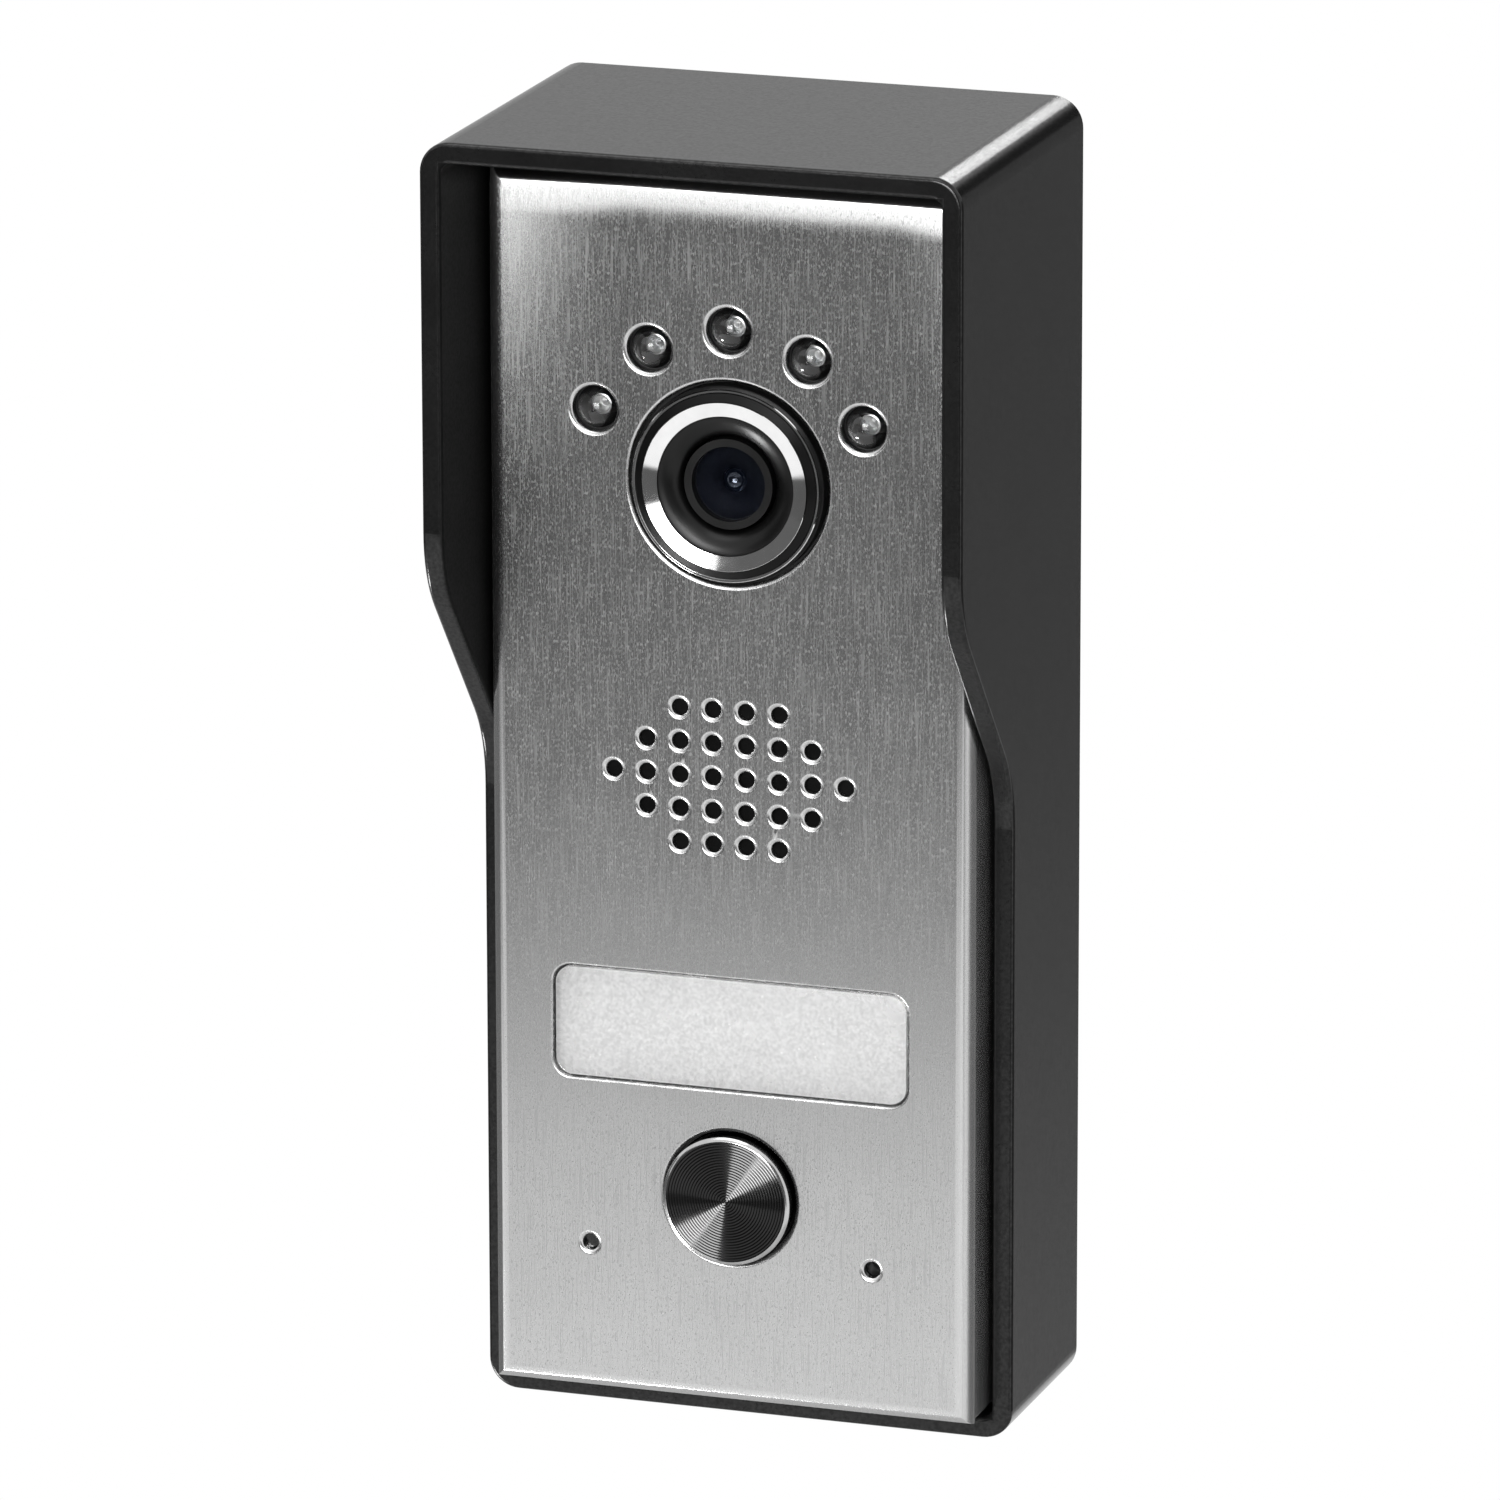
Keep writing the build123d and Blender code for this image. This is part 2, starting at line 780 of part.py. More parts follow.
def make_lens_holder():
    holder = block(holder_side, holder_side, holder_back, holder_front, 0, camera_z)
    holder -= disc(barrel_radius + slip, barrel_back - slip, holder_front + overshoot, 0, camera_z)
    hollow = holder_side - 2 * holder_wall
    holder -= block(hollow, hollow, holder_back - overshoot, barrel_back, 0, camera_z)
    return holder


def make_image_sensor():
    front = camera_board_front + sensor_height
    return block(sensor_side, sensor_side, camera_board_front, front, 0, camera_z)


def make_camera_board():
    board = block(camera_board_width, camera_board_height, camera_board_back, camera_board_front, 0, camera_z)
    low = camera_board_back - overshoot
    for x, z in camera_screw_places:
        board -= disc(small_screw_radius + 4 * slip, low, camera_board_front + overshoot, x, z)
    return board


def make_camera_screws():
    head_back = camera_board_back - small_head_height
    tip = camera_board_front + small_screw_grip - loose
    return group(
        [
            screw(small_head_radius, small_screw_radius, head_back, camera_board_back, tip, x, z)
            for x, z in camera_screw_places
        ]
    )


def make_camera_plug():
    back = camera_board_back - connector_depth
    return block(connector_width, connector_height, back, camera_board_back, 0, plug_z)


def make_camera_socket():
    front = board_front + connector_depth
    return block(connector_width, connector_height, board_front, front, 0, socket_z)


def make_camera_ribbon():
    # A flat cable bowed between the two connectors
    start = (board_front + connector_depth / 2, socket_z + connector_height / 2)
    end = (camera_board_back - connector_depth / 2, plug_z - connector_height / 2)
    bow_depth = (start[0] + end[0]) / 2 - ribbon_bow
    bow_z = (start[1] + end[1]) / 2
    sheet = ribbon_thickness
    outline = [
        ThreePointArc(start, (bow_depth, bow_z), end),
        Line(end, (end[0] + sheet, end[1])),
        ThreePointArc((end[0] + sheet, end[1]), (bow_depth + sheet, bow_z), (start[0] + sheet, start[1])),
        Line((start[0] + sheet, start[1]), start),
    ]
    side_plane = Plane(origin=(ribbon_width / 2, 0, 0), x_dir=(0, -1, 0), z_dir=(-1, 0, 0))
    return extrude(side_plane * make_face(Curve() + outline), ribbon_width)


# Infrared lamps
lamp_tip = panel_face + lamp_proud
lamp_base = lamp_tip - lamp_length


def make_ir_led(x, z):
    rim_front = lamp_base + lamp_rim_height
    outline = [
        (lamp_rim_radius, lamp_base),
        (lamp_rim_radius, rim_front),
        (lamp_radius, rim_front),
        (lamp_radius, lamp_tip - lamp_radius),
    ]
    return domed(outline, lamp_tip, x, z)


def make_led_board():
    inner = lamp_arc_radius - lamp_board_width / 2
    outer = lamp_arc_radius + lamp_board_width / 2
    reach = lamp_angles[-1] + lamp_rim_radius / inner
    edge = (outer * math.sin(reach), outer * math.cos(reach))
    wedge = Polygon(
        (0, 0), edge, (outer, outer), (-outer, outer), (-edge[0], edge[1]), align=None
    )
    sector = (Circle(outer) - Circle(inner)) & wedge
    return slab(Pos(0, camera_z) * sector, lamp_base - board_thickness, lamp_base)


# Speaker
speaker_front = frame_back - speaker_gasket_thickness
paper_back = speaker_front - cone_paper
basket_back = speaker_front - speaker_height


def make_speaker_mesh():
    radius = speaker_radius - speaker_rim + loose - slip
    return disc(radius, frame_front, frame_front + mesh_thickness, 0, speaker_z)


def make_speaker_gasket():
    return tube(speaker_radius, speaker_radius - speaker_rim, speaker_front, frame_back, 0, speaker_z)


def make_speaker_frame():
    inner = speaker_radius - speaker_rim
    rim_back = paper_back - speaker_rim_height
    floor_radius = magnet_radius + basket_sheet
    bore = coil_radius + loose
    return turned(
        [
            (inner, paper_back),
            (speaker_radius, paper_back),
            (speaker_radius, rim_back),
            (inner + basket_sheet, rim_back),
            (floor_radius + basket_sheet, basket_back),
            (bore, basket_back),
            (bore, basket_back + basket_sheet),
            (floor_radius, basket_back + basket_sheet),
            (inner, rim_back),
        ],
        0,
        speaker_z,
    )


def make_speaker_cone():
    outer = speaker_radius - slip
    edge = speaker_radius - speaker_rim - slip
    neck_depth = (paper_back + basket_back) / 2
    return turned(
        [
            (0, neck_depth),
            (coil_radius, neck_depth),
            (edge - loose, paper_back),
            (outer, paper_back),
            (outer, speaker_front),
            (edge - loose, speaker_front),
            (coil_radius, neck_depth + cone_paper),
            (0, neck_depth + cone_paper),
        ],
        0,
        speaker_z,
    )


def make_voice_coil():
    neck_depth = (paper_back + basket_back) / 2
    return tube(coil_radius, coil_radius - coil_wall, basket_back + slip, neck_depth, 0, speaker_z)


def make_speaker_magnet():
    return disc(magnet_radius, basket_back - magnet_height, basket_back, 0, speaker_z)


# Name window
card_front = panel_back - window_plate_thickness
card_back = card_front - card_thickness
guide_front_width = window_width - 2 * guide_margin
guide_front_height = window_height - 2 * guide_margin


def make_nameplate_window():
    plate = Rectangle(window_plate_width, window_plate_height)
    return slab(Pos(0, window_z) * plate, card_front, panel_back)


def make_name_card():
    plate = Rectangle(window_plate_width, window_plate_height)
    return slab(Pos(0, window_z) * plate, card_back, card_front)


def make_light_guide():
    front = Rectangle(guide_front_width - slip, guide_front_height - slip)
    back = Rectangle(guide_front_width - 2 * guide_taper, guide_front_height - 2 * guide_taper)
    start = board_front + backlight_height + loose
    middle = frame_back - loose
    place = Pos(0, window_z)
    taper = loft([front_plane(start) * place * back, front_plane(middle) * place * front])
    return taper + slab(place * front, middle, card_back - slip)


def make_backlight_leds():
    step = (guide_front_width - 2 * guide_taper) / backlight_count
    places = [(i - (backlight_count - 1) / 2) * step for i in range(backlight_count)]
    top = board_front + backlight_height
    return group([block(backlight_side, backlight_side, board_front, top, x, window_z) for x in places])


# Push button
button_face = panel_face + button_proud
guide_shoulder = frame_back - guide_flange_height
button_flange_front = guide_shoulder - slip
button_flange_back = button_flange_front - button_flange_height
button_flange_radius = button_radius + button_flange
guide_bore = button_flange_radius + loose
spring_front = button_flange_back + button_cavity - slip
base_front = spring_front - spring_room - slip
base_back = base_front - base_thickness
switch_front = board_front + switch_height
plunger_front = switch_front + plunger_proud
stem_end = plunger_front + plunger_gap


def make_button_cap():
    seat = spring_front + slip
    return turned(
        [
            (0, stem_end),
            (button_stem_radius, stem_end),
            (button_stem_radius, seat),
            (button_cavity_radius, seat),
            (button_cavity_radius, button_flange_back),
            (button_flange_radius, button_flange_back),
            (button_flange_radius, button_flange_front),
            (button_radius, button_flange_front),
            (button_radius, button_face - button_chamfer),
            (button_radius - button_chamfer, button_face),
            (0, button_face),
        ],
        0,
        button_z,
    )


def make_button_guide():
    neck_bore = button_radius + button_fit
    outer = guide_bore + guide_wall
    flange_radius = outer + guide_flange
    return turned(
        [
            (neck_bore, guide_shoulder),
            (neck_bore, frame_front),
            (guide_neck_radius, frame_front),
            (guide_neck_radius, frame_back),
            (flange_radius, frame_back),
            (flange_radius, guide_shoulder),
            (outer, guide_shoulder),
            (outer, base_back),
            (guide_bore, base_back),
            (guide_bore, guide_shoulder),
        ],
        0,
        button_z,
    )


def make_button_base():
    hole = button_stem_radius + base_hole_gap
    return tube(guide_bore - slip, hole, base_back, base_front, 0, button_z)


def make_button_spring():
    # Half turns, each a tilted arc that starts and ends level, so the wire runs on smoothly
    low = base_front + spring_wire_radius + slip
    rise = spring_front - base_front - 2 * spring_wire_radius - 2 * slip
    half_turns = 2 * spring_turns
    step = rise / half_turns
    arcs = []
    for i in range(half_turns):
        side = spring_radius if i % 2 == 0 else -spring_radius
        start = (side, -(low + i * step), button_z)
        middle = (0, -(low + (i + 0.5) * step), button_z + side)
        end = (-side, -(low + (i + 1) * step), button_z)
        arcs.append(ThreePointArc(start, middle, end))
    path = Wire(arcs)
    section = Plane(origin=path @ 0, z_dir=path % 0) * Circle(spring_wire_radius)
    print("button spring gap between turns", round(2 * step - 2 * spring_wire_radius, 2))
    return sweep(section, path=path)


def make_switch_body():
    body = block(switch_side, switch_side, board_front, switch_front, 0, button_z)
    bore_back = plunger_front - plunger_length - button_travel - loose
    return body - disc(plunger_radius + button_fit, bore_back, switch_front + overshoot, 0, button_z)


def make_switch_plunger():
    return disc(plunger_radius, plunger_front - plunger_length, plunger_front, 0, button_z)


# Microphone and light sensor
def make_microphone():
    front = frame_back - boot_front
    return disc(microphone_radius, front - microphone_height, front, *microphone_place)


def make_mic_boot():
    radius = microphone_radius + boot_wall
    front = frame_back - boot_front
    boot = disc(radius, front - microphone_height, frame_back, *microphone_place)
    boot -= disc(microphone_radius + slip, front - microphone_height - overshoot, front, *microphone_place)
    return boot - disc(pinhole_radius, front - overshoot, frame_back + overshoot, *microphone_place)


def make_light_sensor():
    front = panel_back - slip
    return disc(light_sensor_radius, front - light_sensor_height, front, *sensor_place)


# Main board
def make_main_board():
    height = board_high - board_low
    board = block(2 * board_half, height, board_back, board_front, 0, (board_high + board_low) / 2)
    for x, z in board_screw_places:
        board -= disc(small_screw_radius + 4 * slip, board_back - overshoot, board_front + overshoot, x, z)
    return board


def make_board_screws():
    # Driven from the front into the standoffs of the rear case
    tip = board_back - board_standoff + loose
    top = board_front + small_head_height
    return group(
        [
            disc(small_head_radius, board_front, top, x, z) + disc(small_screw_radius, tip, board_front, x, z)
            for x, z in board_screw_places
        ]
    )


def make_board_chips():
    chip_x = switch_side / 2 + loose + chip_side / 2
    top = board_front + chip_height
    places = (-chip_x, chip_x)
    return group([block(chip_side, chip_side, board_front, top, x, button_z) for x in places])


def make_capacitors():
    z = speaker_z - speaker_radius
    top = board_front + capacitor_height
    places = (-capacitor_spacing / 2, capacitor_spacing / 2)
    return group([disc(capacitor_radius, board_front, top, x, z) for x in places])


def terminal_places():
    return [(i - (terminal_count - 1) / 2) * terminal_pitch for i in range(terminal_count)]


def make_terminal_block():
    middle = (terminal_low + terminal_high) / 2
    body = block(terminal_count * terminal_pitch, terminal_height, terminal_back, board_back, 0, middle)
    well_end = terminal_back + terminal_well
    entry_depth = (well_end + board_back) / 2
    for x in terminal_places():
        body -= disc(terminal_screw_radius + slip, terminal_back - overshoot, well_end, x, middle)
        body -= upright(wire_entry_radius, terminal_low - overshoot, middle, x, entry_depth)
    return body


def make_terminal_screws():
    middle = (terminal_low + terminal_high) / 2
    front = terminal_back + terminal_well
    back = front - terminal_screw_height
    screws = []
    for x in terminal_places():
        head = disc(terminal_screw_radius, back, front, x, middle)
        slot_end = back + trimmer_slot_depth
        head -= block(3 * terminal_screw_radius, trimmer_slot, back - overshoot, slot_end, x, middle)
        screws.append(head)
    return group(screws)


trimmer_back = case_inside + loose
rotor_back = trimmer_back - trimmer_proud


def make_trimmer_body():
    x, z = trimmer_place
    body = block(trimmer_side, trimmer_side, trimmer_back, board_back, x, z)
    well_end = rotor_back + trimmer_length + slip
    return body - disc(trimmer_radius + trimmer_fit, trimmer_back - overshoot, well_end, x, z)


def make_trimmer_rotor():
    x, z = trimmer_place
    rotor = disc(trimmer_radius, rotor_back, rotor_back + trimmer_length, x, z)
    slot_end = rotor_back + trimmer_slot_depth
    return rotor - block(3 * trimmer_radius, trimmer_slot, rotor_back - overshoot, slot_end, x, z)


pieces = {
    "rain_hood": make_rain_hood(),
    "cable_grommet": make_cable_grommet(),
    "lock_screw": make_lock_screw(),
    "lock_insert": make_lock_insert(),
    "front_panel": make_front_panel(),
    "weld_studs": make_weld_studs(),
    "stud_nuts": make_stud_nuts(),
    "panel_gasket": make_panel_gasket(),
    "inner_frame": make_inner_frame(),
    "rear_case": make_rear_case(),
    "case_seal": make_case_seal(),
    "case_screws": make_case_screws(),
    "camera_bezel": make_camera_bezel(),
    "camera_lip": make_camera_lip(),
    "chrome_ring": make_chrome_ring(),
    "camera_cone": make_camera_cone(),
    "lens_barrel": make_lens_barrel(),
    "lens_glass": make_lens_glass(),
    "lens_rear": make_lens_rear(),
    "lens_holder": make_lens_holder(),
    "image_sensor": make_image_sensor(),
    "camera_board": make_camera_board(),
    "camera_screws": make_camera_screws(),
    "camera_plug": make_camera_plug(),
    "camera_socket": make_camera_socket(),
    "camera_ribbon": make_camera_ribbon(),
    "led_board": make_led_board(),
    "speaker_mesh": make_speaker_mesh(),
    "speaker_gasket": make_speaker_gasket(),
    "speaker_frame": make_speaker_frame(),
    "speaker_cone": make_speaker_cone(),
    "voice_coil": make_voice_coil(),
    "speaker_magnet": make_speaker_magnet(),
    "nameplate_window": make_nameplate_window(),
    "name_card": make_name_card(),
    "light_guide": make_light_guide(),
    "backlight_leds": make_backlight_leds(),
    "button_cap": make_button_cap(),
    "button_guide": make_button_guide(),
    "button_base": make_button_base(),
    "button_spring": make_button_spring(),
    "switch_body": make_switch_body(),
    "switch_plunger": make_switch_plunger(),
    "microphone": make_microphone(),
    "mic_boot": make_mic_boot(),
    "light_sensor": make_light_sensor(),
    "main_board": make_main_board(),
    "board_screws": make_board_screws(),
    "board_chips": make_board_chips(),
    "capacitors": make_capacitors(),
    "terminal_block": make_terminal_block(),
    "terminal_screws": make_terminal_screws(),
    "trimmer_body": make_trimmer_body(),
    "trimmer_rotor": make_trimmer_rotor(),
}
for number, (lamp_x, lamp_z) in enumerate(lamp_places, start=1):
    pieces[f"ir_led_{number}"] = make_ir_led(lamp_x, lamp_z)

os.makedirs("parts", exist_ok=True)
for name, piece in pieces.items():
    export_step(piece, f"parts/{name}.step")
print(len(pieces), "pieces; hood", round(hood_width, 2), "x", round(hood_height, 2), "x", hood_depth)
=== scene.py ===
# %% [markdown]
# # A video doorbell under its rain hood
# The doorbell hangs on a wall: a brushed steel front with a camera, five infrared lamps, a
# speaker, a name window and a push button, inside a black moulded hood. The solids come from
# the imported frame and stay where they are. This lesson lights them as a studio would, gives
# each one a finish, and models again the small pieces that a plain solid shows too simply.

# %% Load the frame
import json
import math

import bpy
from mathutils import Matrix, Vector


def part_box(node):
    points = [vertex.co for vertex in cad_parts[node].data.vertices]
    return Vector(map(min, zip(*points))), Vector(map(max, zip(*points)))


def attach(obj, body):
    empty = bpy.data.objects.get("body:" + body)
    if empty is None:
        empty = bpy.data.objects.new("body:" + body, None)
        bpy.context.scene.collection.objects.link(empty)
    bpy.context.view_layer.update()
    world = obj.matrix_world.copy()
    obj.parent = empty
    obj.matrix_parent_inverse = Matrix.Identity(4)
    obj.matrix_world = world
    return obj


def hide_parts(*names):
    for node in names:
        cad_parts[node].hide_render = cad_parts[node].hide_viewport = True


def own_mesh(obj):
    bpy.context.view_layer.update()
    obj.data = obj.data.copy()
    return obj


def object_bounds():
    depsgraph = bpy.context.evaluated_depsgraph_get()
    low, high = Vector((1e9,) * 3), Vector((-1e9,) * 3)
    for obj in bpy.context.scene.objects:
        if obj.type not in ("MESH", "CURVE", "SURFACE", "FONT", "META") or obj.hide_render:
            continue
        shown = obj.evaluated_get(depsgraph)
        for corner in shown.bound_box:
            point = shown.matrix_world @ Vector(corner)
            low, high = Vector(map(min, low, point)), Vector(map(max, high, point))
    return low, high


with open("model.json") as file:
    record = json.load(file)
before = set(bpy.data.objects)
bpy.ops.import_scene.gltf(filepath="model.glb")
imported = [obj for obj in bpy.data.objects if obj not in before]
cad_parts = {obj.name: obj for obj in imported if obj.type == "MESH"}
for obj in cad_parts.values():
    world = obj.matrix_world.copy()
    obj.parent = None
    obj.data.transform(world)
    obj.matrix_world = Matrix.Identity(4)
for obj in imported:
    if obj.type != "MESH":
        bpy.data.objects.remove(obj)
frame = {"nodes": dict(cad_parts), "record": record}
cad_low, cad_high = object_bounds()
nodes = frame["nodes"]
MM = 0.001
MERGE = 1e-6
print(f"{len(nodes)} solids, {(cad_high - cad_low) / MM} mm")

# %% [markdown]
# ## Camera
# The photograph was taken from the right and a little above with a long lens, so upright lines
# stay almost parallel. A short lens from close by would show the same faces, but would spread
# the hood's front edge, so a 288 mm lens stands 1.4 m away.

# %% Camera
CAMERA_PLACE = Vector((0.4265, -1.2845, 0.3695))
CAMERA_YAW = math.radians(18.70)
CAMERA_PITCH = math.radians(15.40)
CAMERA_ROLL = math.radians(-0.12)
CAMERA_LENS = 287.7
CAMERA_SENSOR = 36.0

bpy.ops.object.select_all(action="DESELECT")
bpy.ops.object.camera_add(location=CAMERA_PLACE)
camera = bpy.context.object
camera.name = "photo_camera"
camera.data.lens = CAMERA_LENS
camera.data.sensor_width = CAMERA_SENSOR
turn = Matrix.Rotation(CAMERA_YAW, 4, "Z") @ Matrix.Rotation(math.pi / 2 - CAMERA_PITCH, 4, "X")
camera.matrix_world = (
    Matrix.Translation(CAMERA_PLACE) @ turn @ Matrix.Rotation(CAMERA_ROLL, 4, "Z")
)
bpy.context.scene.camera = camera
bpy.context.scene.view_settings.view_transform = "Standard"
print("camera", tuple(camera.location))

# %% [markdown]
# ## White surroundings
# The background is plain white. The world could simply be bright, but then it would wash out
# every shadow, so it is white only where the camera, metal and glass look at it, and dimmer as
# a source of light.

# %% World
AMBIENT = 0.36

world = bpy.data.worlds.new("white_room")
bpy.context.scene.world = world
world.use_nodes = True
world_nodes = world.node_tree.nodes
world_links = world.node_tree.links
backdrop = world_nodes["Background"]
backdrop.inputs["Color"].default_value = (1, 1, 1, 1)
light_path = world_nodes.new("ShaderNodeLightPath")
seen = light_path.outputs["Is Camera Ray"]
for ray in ("Is Glossy Ray", "Is Transmission Ray"):
    either = world_nodes.new("ShaderNodeMath")
    either.operation = "MAXIMUM"
    world_links.new(seen, either.inputs[0])
    world_links.new(light_path.outputs[ray], either.inputs[1])
    seen = either.outputs[0]
level = world_nodes.new("ShaderNodeMapRange")
level.inputs["To Min"].default_value = AMBIENT
level.inputs["To Max"].default_value = 1.0
world_links.new(seen, level.inputs["Value"])
world_links.new(level.outputs["Result"], backdrop.inputs["Strength"])
print("world", world.name)

# %% [markdown]
# ## Lamps
# A large soft box hangs overhead. In front stands a tall one in two halves. The lower half is dim
# and the upper one bright, so the panel's upper bend turns white and the rings of the button show
# light wedges. A narrow strip behind draws a bright line along the hood's edge. Each lamp is set
# by how white its face looks, because steel and chrome show the face itself.

# %% Lamps
OBJECT_CENTRE = (cad_low + cad_high) / 2


def bearing(azimuth, elevation):
    """The direction from the doorbell at these angles, in degrees; azimuth 0 is straight ahead."""
    a = math.radians(azimuth)
    e = math.radians(elevation)
    return Vector((math.sin(a) * math.cos(e), -math.cos(a) * math.cos(e), math.sin(e)))


def aim(obj, target):
    obj.rotation_mode = "QUATERNION"
    obj.rotation_quaternion = (target - obj.location).to_track_quat("-Z", "Y")


def soft_box(name, azimuth, elevation, distance, width, height, glow):
    """A soft box seen from the doorbell at these angles; glow is how white its face looks."""
    place = OBJECT_CENTRE + bearing(azimuth, elevation) * distance
    bpy.ops.object.light_add(type="AREA", location=place)
    lamp = bpy.context.object
    lamp.name = name
    lamp.data.shape = "RECTANGLE"
    lamp.data.size = width
    lamp.data.size_y = height
    lamp.data.energy = math.pi * glow * width * height
    aim(lamp, OBJECT_CENTRE)
    return lamp


# Name, azimuth and elevation in degrees, distance, width and height in metres, glow.
overhead = soft_box("overhead_box", -25, 66, 1.2, 0.8, 0.7, 1.6)
front_box = soft_box("front_box", 1, 3, 1.6, 0.78, 0.43, 3.6)
upper_box = soft_box("upper_box", 1, 18.5, 1.6, 0.78, 0.43, 13.0)
back_strip = soft_box("back_strip", 180, 25.5, 1.1, 0.36, 0.05, 10.0)
print([lamp.name for lamp in (overhead, front_box, upper_box, back_strip)])

# %% [markdown]
# ## Floor and cards
# Steel, chrome and shiny plastic show whatever stands round them. A photographer puts grey cards
# there to keep them from going flat white, and so does this scene. Dark cards and bent screens
# stand in front for the panel and at the sides for the hood. Two small bright cards give the dish
# its sheen and the lens its spark. All of them show only in mirrors and through glass, and light
# nothing else. A pale round floor well below the doorbell takes its shadow.

# %% Floor and cards
FLOOR_DROP = 0.35
FLOOR_RADIUS = 0.55
FLOOR_GREY = 0.86
FLOOR_ROUGHNESS = 0.9
FLOOR_CORNERS = 96
SCREEN_FADE = 0.06
SCREEN_STEPS = 24
CARD_FOOT = -0.5
CARD_WAIST = -0.1


def graded_glow(name, axis, start, end, first, last):
    """A glow that goes softly from first to last between two places along one axis."""
    finish = bpy.data.materials.new(name)
    finish.use_nodes = True
    tree = finish.node_tree
    tree.nodes.remove(tree.nodes["Principled BSDF"])
    glow = tree.nodes.new("ShaderNodeEmission")
    glow.inputs["Color"].default_value = (1, 1, 1, 1)
    split = tree.nodes.new("ShaderNodeSeparateXYZ")
    tree.links.new(tree.nodes.new("ShaderNodeTexCoord").outputs["Object"], split.inputs[0])
    fade = tree.nodes.new("ShaderNodeMapRange")
    fade.interpolation_type = "SMOOTHSTEP"
    for socket, value in (("From Min", start), ("From Max", end), ("To Min", first), ("To Max", last)):
        fade.inputs[socket].default_value = value
    tree.links.new(split.outputs[axis], fade.inputs["Value"])
    tree.links.new(fade.outputs["Result"], glow.inputs["Strength"])
    tree.links.new(glow.outputs[0], tree.nodes["Material Output"].inputs["Surface"])
    return finish


def only_in_mirrors(sheet, finish):
    sheet.data.materials.append(finish)
    sheet.visible_camera = False
    sheet.visible_diffuse = False
    sheet.visible_shadow = False


def card(name, azimuth, elevation, distance, width, height, brightness, foot=None):
    """A card that only mirrors show, square to the line from the doorbell.

    Its lower part can go over to another brightness at its foot.
    """
    place = OBJECT_CENTRE + bearing(azimuth, elevation) * distance
    bpy.ops.mesh.primitive_plane_add(size=1, location=place)
    sheet = bpy.context.object
    sheet.name = name
    sheet.scale = (width, height, 1)
    aim(sheet, OBJECT_CENTRE)
    first = brightness if foot is None else foot
    glow = graded_glow(name + "_grey", "Y", CARD_FOOT, CARD_WAIST, first, brightness)
    only_in_mirrors(sheet, glow)
    return sheet


def draw_outline(points):
    """Extrudes one vertex along these points, in metres, and stays in edit mode."""
    bpy.ops.object.select_all(action="DESELECT")
    bpy.ops.mesh.primitive_plane_add(size=MM)
    bpy.ops.object.mode_set(mode="EDIT")
    bpy.ops.mesh.select_all(action="SELECT")
    bpy.ops.mesh.merge(type="CENTER")
    bpy.ops.transform.translate(value=points[0])
    for start, end in zip(points, points[1:]):
        bpy.ops.mesh.extrude_vertices_move(TRANSFORM_OT_translate={"value": end - start})


def curved_screen(name, start, end, radius, low, high, brightness):
    """A screen bent round the doorbell between two azimuths, from low to high in metres.

    Spinning turns it towards smaller azimuths, so it starts at the larger one.
    """
    first = math.radians(end)
    foot = Vector((math.sin(first) * radius, -math.cos(first) * radius, low))
    draw_outline([foot, foot + Vector((0, 0, high - low))])
    bpy.ops.mesh.select_all(action="SELECT")
    sweep = math.radians(end - start)
    bpy.ops.mesh.spin(steps=SCREEN_STEPS, angle=sweep, center=(0, 0, 0), axis=(0, 0, 1))
    bpy.ops.object.mode_set(mode="OBJECT")
    sheet = bpy.context.object
    sheet.name = name
    only_in_mirrors(sheet, graded_glow(name + "_grey", "Z", low, low + SCREEN_FADE, 1.0, brightness))


# Cards: azimuth, elevation, distance, width, height, brightness.
# Screens: first and last azimuth, distance, foot and top, brightness.
card("front_card", -40, 6, 1.48, 1.3, 0.7, 0.12)
curved_screen("low_screen", -78, 48, 1.5, -0.495, -0.13, 0.10)
curved_screen("left_skirt", -78, -47, 1.48, -0.68, -0.14, 0.15)
curved_screen("right_skirt", 9, 26, 1.48, -0.62, -0.3, 0.12)
card("dark_card", 32, 12, 1.6, 0.95, 1.0, 0.12)
curved_screen("left_screen", -150, -74, 1.45, -0.75, 0.3, 0.18)
curved_screen("right_screen", 76, 134, 1.45, -0.75, 0.3, 0.16)
sheen_card = card("sheen_card", -63, -43, 0.45, 0.16, 0.08, 26.0)
card("side_card", 155, -8, 1.0, 0.75, 0.68, 0.19, foot=0.4)
card("back_card", -158, 11, 1.3, 0.9, 0.62, 0.62)
card("edge_card", 164, 15.5, 0.97, 0.5, 0.22, 0.03)
spark_card = card("spark_card", 15, 15, 1.42, 0.3, 0.36, 40.0)
# The spark is for the lens alone and the sheen for the dish; elsewhere they leave bright dots.
spark_card.visible_glossy = False
sheen_card.visible_transmission = False

bpy.ops.mesh.primitive_circle_add(
    vertices=FLOOR_CORNERS, radius=FLOOR_RADIUS, fill_type="NGON",
    location=(0, 0, cad_low.z - FLOOR_DROP),
)
floor = bpy.context.object
floor.name = "pale_floor"
floor_finish = bpy.data.materials.new("pale_floor")
floor_finish.use_nodes = True
floor_shader = floor_finish.node_tree.nodes["Principled BSDF"]
floor_shader.inputs["Base Color"].default_value = (FLOOR_GREY, FLOOR_GREY, FLOOR_GREY, 1)
floor_shader.inputs["Roughness"].default_value = FLOOR_ROUGHNESS
floor.data.materials.append(floor_finish)
print("floor at", round(floor.location.z, 3))

# %% [markdown]
# ## How a finish is made
# A finish starts from one shader. Noise on the object's own coordinates gives it grain, mottling
# and brushing, and a few small helpers lead that noise to colour, gloss and relief. Image
# textures would be quicker, but they stretch on these shapes and carry their own light.


